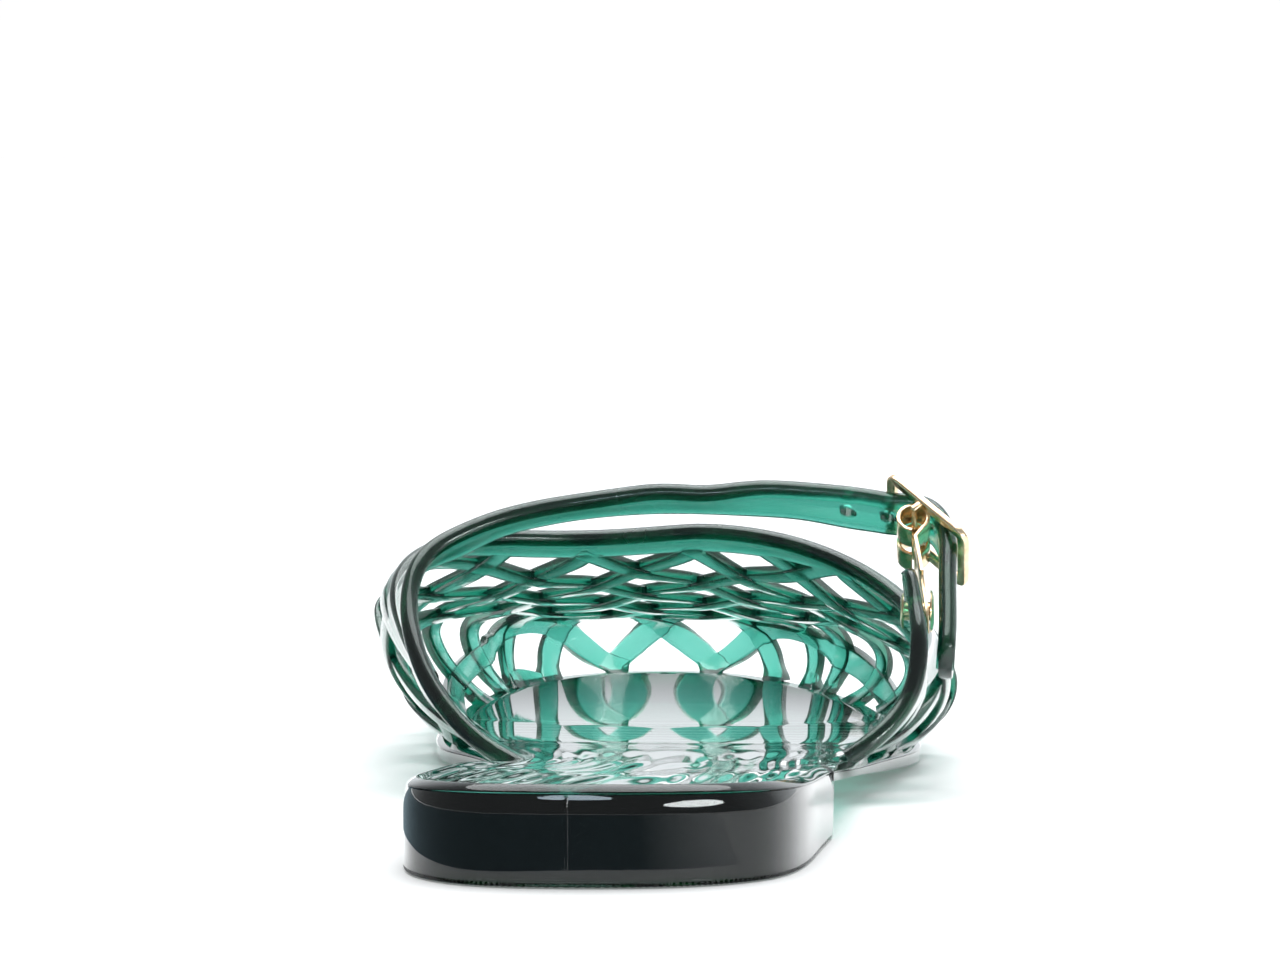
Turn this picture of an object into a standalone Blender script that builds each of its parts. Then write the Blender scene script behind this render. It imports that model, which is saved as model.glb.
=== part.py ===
"""Right-foot jelly mule: a woven closed-toe upper with an instep strap, on a low moulded heel.

Sizes are in millimetres, with +Y to the toe, +X to the outer (lateral) side of the right foot and the
floor at z = 0.  They become metres when a mesh is made.
"""

import math

import bpy
import bmesh
import numpy as np

for thing in list(bpy.data.objects):
    bpy.data.objects.remove(thing, do_unlink=True)

MM = 0.001

# Sole: plan of its edge, as the inner and outer x at each y, closed by one point at the heel and the toe
HEEL_BACK = (-4.5, -30.9)
TOE_TIP = (-0.5, 217.6)
SOLE_PLAN = (  # y, medial x, lateral x
    (-27.6, -20.6, 14.6),
    (-20.0, -27.3, 24.3),
    (-8.0, -30.1, 28.9),
    (10.0, -29.4, 31.0),
    (35.0, -26.0, 33.3),
    (65.0, -22.9, 35.3),
    (92.0, -26.8, 39.3),
    (117.0, -34.4, 44.0),
    (137.0, -37.8, 45.6),
    (157.0, -38.6, 43.2),
    (178.0, -36.6, 37.8),
    (196.0, -31.7, 29.6),
    (209.0, -23.4, 18.9),
    (215.4, -13.2, 9.6),
)
EDGE_HEIGHT = (  # y, z of the top edge of the sole
    (-31.0, 14.8),
    (-6.0, 13.2),
    (10.0, 12.1),
    (27.0, 11.1),
    (62.0, 7.6),
    (85.0, 5.8),
    (105.0, 4.6),
    (122.0, 3.6),
    (140.0, 3.1),
    (165.0, 3.3),
    (190.0, 4.5),
    (218.0, 6.5),
)

# Last: the inside of the upper, as sections that fan from the sole's edge to a spine line
SECTION_START_Y = 60.0  # y of the sole's edge where the first section stands
LANDING_GAP = 0.3  # between the sole and whatever lands on it
SPINE = (  # y, x and z of the top line
    (55.0, 3.0, 53.0),
    (80.0, 4.4, 51.5),
    (100.0, 5.4, 47.5),
    (110.0, 5.8, 44.6),
    (118.0, 6.0, 42.2),
    (130.0, 5.7, 36.9),
    (139.0, 5.2, 32.9),
    (156.0, 4.0, 27.6),
    (174.0, 1.5, 23.2),
    (193.0, -0.8, 19.4),
    (200.0, -1.2, 18.4),
)
SPINE_REACH = (  # share of the way to the toe, y on the spine
    (0.0, 60.0),
    (0.25, 98.0),
    (0.5, 136.0),
    (0.75, 170.0),
    (1.0, 193.0),
)
# Share of the way to the toe, landing inset from the sole's edge, bulge past it, height share of the widest
# point and fullness
MEDIAL_SECTION = (
    (0.0, 6.0, 19.2, 0.50, 2.1),
    (0.3, 4.4, 14.6, 0.56, 1.9),
    (0.5, 3.6, 11.4, 0.57, 1.9),
    (0.75, 3.2, 6.0, 0.50, 2.2),
    (1.0, 3.0, 2.4, 0.35, 2.7),
)
LATERAL_SECTION = (
    (0.0, 4.4, 12.4, 0.36, 1.9),
    (0.3, 3.8, 9.4, 0.28, 1.6),
    (0.5, 3.4, 6.6, 0.26, 1.65),
    (0.75, 3.2, 4.2, 0.32, 2.0),
    (1.0, 3.0, 2.4, 0.35, 2.7),
)

# Flat pattern: places on the upper are measured on its wall laid flat, from the spine line outwards
WEAVE_CENTRE = (-3.0, 216.5)  # crossing nearest the toe
WEAVE_HALF_WIDTH = 9.2  # half the spacing of crossings across the foot
WEAVE_HALF_LENGTH = 11.75  # half the spacing of crossings along the foot
WEAVE_BEND = 0.5  # how the rows of crossings curve to the toe
BEND_EASE = 0.02  # how that curve flattens out to the sides
BEND_FADE = 10.0  # crossings from the toe over which that curve is lost
TOE_DIP = 1.7  # how the rows next to the toe curve back instead
DIP_EASE = 0.05  # how that dip flattens out to the sides
DIP_FADE = 0.58  # how fast it is lost away from the toe
TOE_SPREAD = 0.45  # how much wider the strips stand where they land at the toe
SPREAD_EASE = 0.25  # how that is lost to the sides
TOE_PULL = 0.36  # how much shorter they are there
WEAVE_REACH = 9  # strips each way from the middle
STRIP_SHARE = 0.145  # half the width of a strip, as a share of the spacing of strips
STRIP_THICK = 2.4
STRIP_SWAY = 0.3  # how far a strip rises over, or dives under, the one it crosses
STRIP_MIDDLE = 0.9  # middle of the weave above the inside of the last
STRIP_PIECES = 3  # pieces of a strip between two crossings
CROSSING_IN_RIM = 2.3  # least distance of a crossing in front of the bead of the collar
CROSSING_IN_LANDING = -2.2  # least height of a crossing above the landing
LANDING_SNAP = 2.0  # corners this close to the landing are set on it
CUT_BLEND = 5.0  # height over which the wall turns from square to level at its landing
LEAST_LEVEL = 0.2  # keeps a level cut from running out where the wall is nearly flat
STRIP_END_RIM = 2.6  # where a strip ends inside the collar

BAND_THICK = 2.2
BEAD = 3.0  # diameter of the bead along the rear edge of the collar, the bands and the strap
COLLAR_FRONT = 6.3  # collar in front of its bead
RIM_ROWS = (  # flattened x and y of the bead of the collar
    (-57.0, 83.0),
    (-53.0, 93.0),
    (-47.0, 103.0),
    (-39.0, 113.0),
    (-30.0, 121.0),
    (-20.0, 126.5),
    (-8.0, 129.0),
    (5.0, 128.0),
    (17.0, 125.0),
    (29.0, 121.5),
    (40.0, 117.0),
    (49.0, 109.5),
    (54.5, 99.0),
    (57.0, 86.0),
)
MEDIAL_BAND_MIDDLE = ((-84.0, 77.0), (-75.0, 77.5), (-66.0, 80.5))
LATERAL_BAND_MIDDLE = ((63.5, 82.5), (70.0, 78.5), (84.0, 77.0))
RIM_LINE = np.array(MEDIAL_BAND_MIDDLE + RIM_ROWS + LATERAL_BAND_MIDDLE)

# Strap: rear edge on the flattened wall, then off the last to the buckle and down to its tail
STRAP_WIDTH = 10.2
STRAP_REAR_FLAT = (
    (-76.0, 72.0),
    (-69.0, 74.0),
    (-62.0, 76.0),
    (-55.0, 79.0),
    (-50.0, 82.0),
    (-46.0, 85.0),
    (-38.0, 91.0),
    (-25.0, 97.0),
    (-12.0, 99.5),
    (0.0, 100.0),
    (10.0, 100.0),
)
STRAP_SINK = 0.9  # how much the strap sags on the medial side of the instep
SINK_FROM, SINK_TO = (-40.0, -22.0), (-12.0, 10.0)  # x over which the sag comes and goes
STRAP_FRONT = (  # x, y and z of the front edge of the strap where it bridges the instep
    (-34.2, 101.3, 34.0),
    (-29.2, 104.0, 37.2),
    (-17.8, 107.0, 41.2),
    (-4.5, 108.5, 43.0),
    (8.8, 108.8, 43.3),
    (18.0, 108.6, 42.9),
    (26.0, 108.2, 42.3),
    (32.0, 107.8, 41.6),
)
STRAP_LEAN = 39.5  # degrees that the strap leans back at the buckle
STRAP_A = 46.8  # rear edge of the hanging strap across the buckle
STRAP_RUN = (  # x and height of the inner face, past the instep
    (18.0, 100.8),
    (26.0, 100.7),
    (34.0, 100.0),
    (38.0, 99.3),
    (41.0, 98.8),
    (44.1, 98.6),
    (46.6, 97.6),
    (48.1, 95.5),
    (48.9, 92.6),
    (49.0, 88.0),
    (49.0, 80.0),
    (48.9, 72.0),
    (48.6, 67.0),
)
STRAP_FLAT_STATIONS = 14
STRAP_STATIONS = 44
STRAP_BRIDGE_Y = 88.0  # behind this the strap still lies on the last
HOLE_RADIUS = 1.4
HOLE_HEIGHTS = (94.0, 105.0)  # heights between which a hole is cut
FREE_HOLES = (33.6, 40.3)  # x of the strap's holes that are not in use

# Lateral band, which ends in a tab under the tail of the strap
LATERAL_REAR_FLAT = (
    (76.0, 72.0),
    (70.0, 73.0),
    (66.0, 75.0),
    (62.0, 77.0),
    (58.0, 78.5),
)
TAB_A = 44.4
LATERAL_FLAT_STATIONS = 9
LATERAL_STATIONS = 16
TAB_RUN = (
    (44.4, 70.3),
    (43.9, 76.5),
    (43.0, 82.8),
    (42.3, 85.6),
)

# Sole: heel, arch, toe spring and the ledges of its edge
BREAST_Y = 27.6
BREAST_RUN = 1.6
ARCH_HEIGHT = 8.6
ARCH_POWER = 1.25
FLAT_FROM = 130.0
FLAT_TO = 165.0
TOE_SPRING = 2.6
HEEL_ROUND = 26.0  # length of the round of the heel in plan
TOE_ROUND_Y = 190.0  # where the round of the toe begins in plan
GROOVE = 0.35
GROOVE_DEPTH = 1.25  # groove below the top edge
GROOVE_HALF = 0.3
EDGE_ROUND = 0.35
TREAD_INSET = 1.2
HEEL_LIP = 0.7
HEEL_SHELF, FORE_SHELF = 2.0, 4.6  # level edge round the footbed
HEEL_SHELF_RUN = (40.0, 75.0)  # y over which one becomes the other
DISH = (  # y, hollow of the footbed
    (-30.0, 1.2),
    (0.0, 1.2),
    (60.0, 0.8),
    (110.0, 0.3),
    (215.0, 0.2),
)

# Buckle, in the plane of the hanging strap: x and height, and a place across it
FRAME_START = (40.9, 102.6)
FRAME_END = (52.6, 90.9)
FRAME_NEAR_A = 45.3
FRAME_FAR_A = 58.8
FRAME_CORNER = 1.5
FRAME_BAR_WIDE = 0.95
FRAME_BAR_THICK = 0.62
BAR_CENTRE = (44.55, 96.25)
BAR_RADIUS = 0.5
LUG_THICK = 1.2
KNUCKLE_CENTRE = (44.4, 95.2)
KNUCKLE_OUTER = 2.35
CLIP_THICK = 0.6
CLIP_ROLL = (-50.0, 245.0)  # degrees between which the end of the clip is rolled
CLIP_A = (46.1, 57.7)
CLIP_GAP_A = (50.8, 53.0)
CLIP_PLATE = ((44.8, 91.6), (45.95, 84.0), (46.85, 76.4))  # middle of the plate below the knuckles
CLIP_FOOT_A = (47.2, 52.4)  # the foot of the plate is narrower, clear of the collar
CLIP_FOOT_TOP = 84.5
PRONG_A = (51.0, 52.8)
PRONG_RING = (0.8, 1.4)
PRONG_RADIUS = 0.65
PRONG_PATH = (
    (45.6, 96.5),
    (47.3, 97.5),
    (49.3, 98.5),
    (50.8, 97.6),
    (51.8, 95.6),
    (52.3, 93.7),
    (52.4, 92.7),
)
PRONG_HOLE = ((45.3, 96.4), (51.3, 99.4))  # axis of the strap's hole in use
RIVET_PLACE = (79.2, 50.0)  # height and place across the strap
RIVET_ROWS = (  # x, radius
    (42.4, 2.0),
    (42.65, 2.8),
    (42.95, 3.0),
    (42.95, 1.5),
    (47.25, 1.5),
    (47.25, 3.5),
    (47.6, 3.3),
    (47.9, 2.2),
)
RIVET_HOLE = 1.8
TAB_BORE = (41.0, 47.2)  # x between which the rivet's hole is cut in the tab
CLIP_BORE = (45.0, 49.0)  # and in the clip

EMERALD = (0.02, 0.23, 0.17)
DARK_EMERALD = (0.008, 0.06, 0.05)
GOLD = (0.86, 0.66, 0.27)


def curve(table, at):
    """Columns of a table as natural cubics of its first column."""
    rows = np.asarray(table, float)
    t, values = rows[:, 0], rows[:, 1:]
    count = len(t)
    step = np.diff(t)
    rise = np.diff(values, axis=0) / step[:, None]
    system = np.eye(count)
    right = np.zeros_like(values)
    for k in range(1, count - 1):
        system[k, k - 1 : k + 2] = step[k - 1], 2 * (step[k - 1] + step[k]), step[k]
        right[k] = 6 * (rise[k] - rise[k - 1])
    bend = np.linalg.solve(system, right)
    at = np.asarray(at, float)
    k = np.clip(np.searchsorted(t, at) - 1, 0, count - 2)
    a = ((t[k + 1] - at) / step[k])[..., None]
    b = 1 - a
    square = (step[k] ** 2 / 6)[..., None]
    found = a * values[k] + b * values[k + 1] + square * ((a**3 - a) * bend[k] + (b**3 - b) * bend[k + 1])
    return found[..., 0] if values.shape[1] == 1 else found


def chord_table(points):
    """Points with the distance walked along them as the first column."""
    points = np.asarray(points, float)
    walked = np.concatenate([[0.0], np.cumsum(np.linalg.norm(np.diff(points, axis=0), axis=1))])
    return np.column_stack([walked, points])


def walk(points, share):
    """Point at a share of the length of a fine polyline."""
    table = chord_table(points)
    at = np.asarray(share) * table[-1, 0]
    return np.column_stack([np.interp(at, table[:, 0], column) for column in table.T[1:]])


def sole_loop():
    """Fine closed outline of the sole, from the heel by the lateral side to the toe and back."""
    plan = np.array(SOLE_PLAN)
    lateral = [tuple(p) for p in plan[:, [2, 0]]]
    medial = [tuple(p) for p in plan[::-1, [1, 0]]]
    points = [HEEL_BACK] + lateral + [TOE_TIP] + medial
    overlap = 4
    looped = points[-overlap:] + points + points[:overlap + 1]
    table = chord_table(looped)
    start, end = table[overlap, 0], table[overlap + len(points), 0]
    return curve(table, np.linspace(start, end, 2001))


OUTLINE = sole_loop()
TOE_INDEX = int(np.argmax(OUTLINE[:, 1]))
SECTIONS = {"medial": MEDIAL_SECTION, "lateral": LATERAL_SECTION}
EDGE = {"lateral": OUTLINE[: TOE_INDEX + 1], "medial": OUTLINE[TOE_INDEX:][::-1]}


def edge_height(y):
    return curve(EDGE_HEIGHT, y)


def section_rows(side, rows=241):
    """Every number of the last's sections on one side, in fine steps from the waist to the toe."""
    share = np.linspace(0, 1, rows)
    edge = EDGE[side]
    edge = edge[np.argmax(edge[:, 1] > SECTION_START_Y) :]
    foot = walk(edge, share)
    spine_y = curve(SPINE_REACH, share)
    spine = curve(SPINE, spine_y)
    centre = np.column_stack([spine[:, 0], spine_y])
    inset, bulge, widest, fullness = curve(SECTIONS[side], share).T
    reach = np.linalg.norm(foot - centre, axis=1)
    out = (foot - centre) / reach[:, None]
    radius = reach - inset
    floor = edge_height(foot[:, 1]) + LANDING_GAP
    rise = spine[:, 1] - floor
    half = radius + bulge
    start = np.arccos(radius / half)
    slope = (curve(SPINE, spine_y + 0.5) - curve(SPINE, spine_y - 0.5))[:, 1] * out[:, 1]
    numbers = {
        "centre": centre,
        "out": out,
        "half": half,
        "start": start,
        "middle": floor + widest * rise,
        "above": (1 - widest) * rise,
        "below": widest * rise / np.sin(start),
        "power": 2 / fullness,
        "slope": slope,
    }
    return numbers


UP_SHARES = np.linspace(-0.08, 1.0, 109)


def on_section(n, up):
    """Distance from the spine and height at a share of the way up a section."""
    angle = -n["start"] + (math.pi / 2 + n["start"]) * up
    c, s = np.cos(angle), np.sin(angle)
    high = angle > 0
    across = np.where(high, n["half"] * np.abs(c) ** n["power"], n["half"] * c)
    z = np.where(high, n["middle"] + n["above"] * np.abs(s) ** n["power"], n["middle"] + n["below"] * s)
    lean = n["slope"] * across * (1 - (np.minimum(across, n["half"]) / n["half"]) ** 2)
    return across, np.where(high, z + lean, z)


def last_side(side):
    """Section numbers of one side with the length from the spine at each share of the way up."""
    n = section_rows(side)
    columns = {key: value[:, None] for key, value in n.items() if value.ndim == 1}
    across, z = on_section(columns, UP_SHARES[None, :])
    piece = np.hypot(np.diff(across, axis=1), np.diff(z, axis=1))
    length = np.zeros_like(across)
    length[:, :-1] = np.cumsum(piece[:, ::-1], axis=1)[:, ::-1]
    n["length"] = length
    landing = np.array([np.interp(0.0, UP_SHARES, row) for row in length])
    n["landing"] = landing
    return n


LAST = {"lateral": last_side("lateral"), "medial": last_side("medial")}


def locate(flat, side):
    """Section numbers and share of the way up for points of the flattened upper on one side."""
    n = LAST[side]
    sign = 1.0 if side == "lateral" else -1.0
    d = flat[:, None, :] - n["centre"][None, :, :]
    turn = sign * (n["out"][None, :, 0] * d[:, :, 1] - n["out"][None, :, 1] * d[:, :, 0])
    rows = turn.shape[1]
    passed = turn <= 0
    k = np.where(passed.any(axis=1), np.argmax(passed, axis=1), rows - 1)
    k = np.clip(k, 1, rows - 1)
    pick = np.arange(len(flat))
    before, after = turn[pick, k - 1], turn[pick, k]
    part = np.clip(before / np.where(before == after, 1.0, before - after), 0.0, 1.0)

    def mix(values):
        w = part if values.ndim == 1 else part[:, None]
        return values[k - 1] * (1 - w) + values[k] * w

    found = {key: mix(values) for key, values in n.items()}
    along = np.linalg.norm(flat - found["centre"], axis=1)
    up = np.array([np.interp(-r, -row, UP_SHARES) for r, row in zip(along, found["length"])])
    found["depth"] = found["landing"] - along
    return found, up


def is_lateral(flat):
    first_y, last_y = SPINE[0][0], SPINE_REACH[-1][1]
    spine_x = curve(SPINE, np.clip(flat[:, 1], first_y, last_y))[:, 0]
    past = np.clip(flat[:, 1] - last_y, 0.0, None)
    heading = LAST["lateral"]["out"][-1]
    return flat[:, 0] > spine_x + past * heading[0] / heading[1]


def on_last(flat):
    """Points of the inside of the upper, and how far each is above its landing, for flattened points."""
    flat = np.atleast_2d(np.asarray(flat, float))
    points = np.zeros((len(flat), 3))
    depth = np.zeros(len(flat))
    right = is_lateral(flat)
    for side, chosen in (("lateral", right), ("medial", ~right)):
        if not chosen.any():
            continue
        n, up = locate(flat[chosen], side)
        across, z = on_section(n, up)
        points[chosen, :2] = n["centre"] + n["out"] * across[:, None]
        points[chosen, 2] = z
        depth[chosen] = n["depth"]
    return points, depth


def outward(flat, depth):
    """Direction out of the wall at flattened points, level where the wall lands so that it is cut flat."""
    step = 0.2
    to_x = on_last(flat + [step, 0.0])[0] - on_last(flat - [step, 0.0])[0]
    to_y = on_last(flat + [0.0, step])[0] - on_last(flat - [0.0, step])[0]
    normal = np.cross(to_x, to_y)
    normal /= np.linalg.norm(normal, axis=1)[:, None]
    level = normal * [1.0, 1.0, 0.0]
    level /= np.maximum((level**2).sum(axis=1), LEAST_LEVEL)[:, None]
    blend = np.clip(depth / CUT_BLEND, 0.0, 1.0)[:, None]
    return level * (1 - blend) + normal * blend


def wall(flat):
    """Inside points and outward directions for flattened points."""
    flat = np.atleast_2d(np.asarray(flat, float))
    points, depth = on_last(flat)
    return points, outward(flat, depth)


def snap_to_landing(flat):
    """Flattened points near the landing moved onto it."""
    flat = np.array(flat, float)
    right = is_lateral(flat)
    for side, chosen in (("lateral", right), ("medial", ~right)):
        if not chosen.any():
            continue
        n, _ = locate(flat[chosen], side)
        landed = n["centre"] + n["out"] * n["landing"][:, None]
        close = (n["depth"] < LANDING_SNAP)[:, None]
        flat[chosen] = np.where(close, landed, flat[chosen])
    return flat


def new_object(name, vertices, faces, colour, roughness=0.3, metallic=0.0):
    mesh = bpy.data.meshes.new(name)
    mesh.from_pydata([tuple(MM * c for c in v) for v in vertices], [], [tuple(f) for f in faces])
    material = bpy.data.materials.new(name)
    material.use_nodes = True
    shader = material.node_tree.nodes["Principled BSDF"]
    shader.inputs["Base Color"].default_value = (*colour, 1.0)
    shader.inputs["Roughness"].default_value = roughness
    shader.inputs["Metallic"].default_value = metallic
    mesh.materials.append(material)
    work = bmesh.new()
    work.from_mesh(mesh)
    bmesh.ops.recalc_face_normals(work, faces=work.faces)
    bmesh.ops.triangulate(work, faces=[f for f in work.faces if len(f.verts) > 3])
    work.to_mesh(mesh)
    work.free()
    thing = bpy.data.objects.new(name, mesh)
    bpy.context.scene.collection.objects.link(thing)
    return thing


def combine(thing, other, operation):
    """Boolean of one object with another, which stays as a hidden tool."""
    other.hide_render = True
    other.display_type = "WIRE"
    step = thing.modifiers.new(f"{operation.lower()} {other.name}", "BOOLEAN")
    step.operation = operation
    step.object = other
    step.solver = "EXACT"


# Weave of the vamp


def weave_flat(alpha, beta):
    """Flattened place of a point of the weave, counted in strips of the two families."""
    across, along = alpha - beta, alpha + beta
    toe = np.clip(-along, 0.0, 1.0)
    dip = TOE_DIP * across**2 / (1 + DIP_EASE * across**2) * np.clip(1 - DIP_FADE * along, 0.0, 1.0)
    bend = WEAVE_BEND * across**2 / (1 + BEND_EASE * across**2) * (1 - along / BEND_FADE)
    spread = 1 + TOE_SPREAD * toe / (1 + SPREAD_EASE * across**2)
    x = WEAVE_CENTRE[0] + WEAVE_HALF_WIDTH * across * spread
    y = WEAVE_CENTRE[1] - WEAVE_HALF_LENGTH * (along + TOE_PULL * toe) + bend - dip
    return np.stack([x, y], axis=-1)


def rim_depth(flat):
    """Distance of flattened points in front of the line along the collar and the two bands."""
    flat = np.atleast_2d(flat)
    line = RIM_LINE
    a, b = line[:-1], line[1:]
    d = b - a
    t = np.clip(((flat[:, None] - a) * d).sum(axis=2) / (d**2).sum(axis=1), 0.0, 1.0)
    gap = flat[:, None] - (a + t[..., None] * d)
    distance = np.linalg.norm(gap, axis=2)
    k = distance.argmin(axis=1)
    pick = np.arange(len(flat))
    side = d[k, 0] * gap[pick, k, 1] - d[k, 1] * gap[pick, k, 0]
    return np.where(side > 0, 1.0, -1.0) * distance[pick, k]


class Weave:
    """Two families of strips laid over and under each other and joined where they cross."""

    def __init__(self):
        self.cells = []  # corners (alpha, beta) in a ring with the low and high offset of each

    def key(self, alpha, beta):
        return round(float(alpha), 5), round(float(beta), 5)

    def corner(self, family, strip, along, side):
        alpha, beta = strip + side * STRIP_SHARE, along
        return (alpha, beta) if family == 0 else (beta, alpha)

    def over(self, family, strip, crossing):
        even = (strip + crossing) % 2 == 0
        return 1.0 if even == (family == 1) else -1.0

    def add_cell(self, ring, low, high):
        self.cells.append(([self.key(*c) for c in ring], list(low), list(high)))

    def add_run(self, family, strip, stations, offsets):
        """Cells of one strip between stations, each a pair of along-values of its two edges."""
        half = STRIP_THICK / 2
        for (one, two), (low_one, low_two) in zip(zip(stations, stations[1:]), zip(offsets, offsets[1:])):
            ring = [
                self.corner(family, strip, one[0], -1),
                self.corner(family, strip, one[1], 1),
                self.corner(family, strip, two[1], 1),
                self.corner(family, strip, two[0], -1),
            ]
            middle = [low_one, low_one, low_two, low_two]
            self.add_cell(ring, [m - half for m in middle], [m + half for m in middle])


def depths(points):
    flat = weave_flat(points[:, 0], points[:, 1])
    return rim_depth(flat), on_last(flat)[1]


def strip_points(family, strip, along):
    fixed = np.full(len(along), float(strip))
    return np.column_stack([fixed, along] if family == 0 else [along, fixed])


def build_weave():
    weave = Weave()
    reach = range(-WEAVE_REACH, WEAVE_REACH + 1)
    pairs = np.array([(i, j) for i in reach for j in reach], float)
    rim, landing = depths(pairs)
    kept = (rim > CROSSING_IN_RIM) & (landing > CROSSING_IN_LANDING)
    inside = {tuple(p) for p in pairs[kept].astype(int).tolist()}
    share, half = STRIP_SHARE, STRIP_THICK / 2
    for i, j in sorted(inside):
        sides = ((-1, -1), (1, -1), (1, 1), (-1, 1))
        ring = [(i + share * a, j + share * b) for a, b in sides]
        weave.add_cell(ring, [-STRIP_SWAY - half] * 4, [STRIP_SWAY + half] * 4)
    for family in (0, 1):
        for strip in reach:
            held = [k for k in reach if ((strip, k) if family == 0 else (k, strip)) in inside]
            for k in held:
                start_offset = STRIP_SWAY * weave.over(family, strip, k)
                if k + 1 in held:
                    ends = np.linspace(k + share, k + 1 - share, STRIP_PIECES + 1)
                    sway = np.linspace(start_offset, -start_offset, STRIP_PIECES + 1)
                    weave.add_run(family, strip, [(e, e) for e in ends], sway)
                for way in (-1, 1):
                    if k + way in held:
                        continue
                    stations = strip_end(family, strip, k, way)
                    if stations is None:
                        continue
                    sway = np.linspace(start_offset, 0.0, len(stations))
                    weave.add_run(family, strip, stations, sway)
    return weave


def strip_end(family, strip, k, way):
    """Stations of a strip from its last crossing to the collar or the sole."""
    share = STRIP_SHARE
    along = k + way * np.linspace(share, 1 - 1.2 * share, 160)
    rim, landing = depths(strip_points(family, strip, along))
    if rim[0] < COLLAR_FRONT - 1.0 or landing[0] < LANDING_SNAP:
        return None
    stop = np.argmax(rim < STRIP_END_RIM) if (rim < STRIP_END_RIM).any() else len(along) - 1
    edges = []
    for side in (-1, 1):
        points = strip_points(family, strip + side * share, along)
        below = depths(points)[1] < 0.0
        edges.append(min(stop, np.argmax(below) if below.any() else len(along) - 1))
    count = STRIP_PIECES
    left = np.linspace(along[0], along[edges[0]], count + 1)
    right = np.linspace(along[0], along[edges[1]], count + 1)
    return list(zip(left, right))


def weave_mesh(weave):
    """Closed mesh of the weave's cells, with steps where a strip dives under another."""
    keys = sorted({c for ring, _, _ in weave.cells for c in ring})
    index = {c: k for k, c in enumerate(keys)}
    flat = snap_to_landing(weave_flat(*np.array(keys).T))
    base, out = wall(flat)
    heights = [set() for _ in keys]
    for ring, low, high in weave.cells:
        for c, a, b in zip(ring, low, high):
            heights[index[c]].update((round(a, 5), round(b, 5)))
    vertices, number = [], {}
    for k, levels in enumerate(heights):
        for level in sorted(levels):
            number[k, level] = len(vertices)
            vertices.append(base[k] + out[k] * (STRIP_MIDDLE + level))

    def chain(k, a, b):
        a, b = round(a, 5), round(b, 5)
        return [number[k, level] for level in sorted(heights[k]) if min(a, b) <= level <= max(a, b)]

    faces = []

    def strip_of(left, right):
        i = j = 0
        while i < len(left) - 1 or j < len(right) - 1:
            if j == len(right) - 1 or (i < len(left) - 1 and i / len(left) <= j / len(right)):
                faces.append((left[i], right[j], left[i + 1]))
                i += 1
            else:
                faces.append((left[i], right[j], right[j + 1]))
                j += 1

    sides = {}
    for ring, low, high in weave.cells:
        ids = [index[c] for c in ring]
        faces.append([number[k, round(h, 5)] for k, h in zip(ids, high)])
        faces.append([number[k, round(h, 5)] for k, h in zip(ids, low)][::-1])
        for e in range(4):
            p, q = ids[e], ids[(e + 1) % 4]
            spans = {p: (low[e], high[e]), q: (low[(e + 1) % 4], high[(e + 1) % 4])}
            sides.setdefault((min(p, q), max(p, q)), []).append(spans)
    for (p, q), spans in sides.items():
        if len(spans) == 1:
            one = spans[0]
            strip_of(chain(p, *one[p]), chain(q, *one[q]))
            continue
        one, two = spans
        for which in (0, 1):
            at_p, at_q = (one[p][which], two[p][which]), (one[q][which], two[q][which])
            if abs(at_p[0] - at_p[1]) < 1e-6 and abs(at_q[0] - at_q[1]) < 1e-6:
                continue
            strip_of(chain(p, *at_p), chain(q, *at_q))
    return vertices, faces


# Bands, strap and collar


def ribbon(rear, front, away, profile):
    """Closed mesh swept along two edges; the profile counts from the rear edge and out of the wall."""
    rear, front = np.asarray(rear, float), np.asarray(front, float)
    width = np.linalg.norm(front - rear, axis=1)[:, None]
    across = (front - rear) / width
    middle = (rear + front) / 2
    along = np.gradient(middle, axis=0)
    normal = np.cross(along, across) * away
    normal /= np.linalg.norm(normal, axis=1)[:, None]
    level = normal[0] * [1.0, 1.0, 0.0]
    normal[0] = level / max((level**2).sum(), LEAST_LEVEL)
    rings = []
    for k in range(len(rear)):
        reach = width[k] / profile[:, 0].max()
        ring = rear[k] + profile[:, :1] * reach * across[k] + profile[:, 1:] * normal[k]
        ring[:, 2] = np.maximum(ring[:, 2], edge_height(ring[:, 1]) + LANDING_GAP)
        rings.append(ring)
    return loft(np.array(rings))


def loft(rings, closed=False):
    """Vertices and faces of rings joined in turn, capped unless the row of rings closes on itself."""
    count, size = rings.shape[:2]
    faces = []
    for k in range(count if closed else count - 1):
        n = (k + 1) % count
        for i in range(size):
            j = (i + 1) % size
            faces.append((k * size + i, k * size + j, n * size + j, n * size + i))
    if not closed:
        faces.append(list(range(size))[::-1])
        faces.append([(count - 1) * size + i for i in range(size)])
    return rings.reshape(-1, 3), faces


def band_profile(width):
    """Section of a band with a bead along its rear edge: distance across, height out of the wall."""
    low, high = (BAND_THICK - BEAD) / 2, (BAND_THICK + BEAD) / 2
    return np.array(
        (
            (0.0, BAND_THICK / 2),
            (0.25 * BEAD, low + 0.12 * BEAD),
            (0.5 * BEAD, low),
            (0.95 * BEAD, 0.0),
            (width - 0.4, 0.0),
            (width, 0.5),
            (width, BAND_THICK - 0.5),
            (width - 0.4, BAND_THICK),
            (0.95 * BEAD, BAND_THICK),
            (0.5 * BEAD, high),
            (0.25 * BEAD, high - 0.12 * BEAD),
        )
    )


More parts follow.
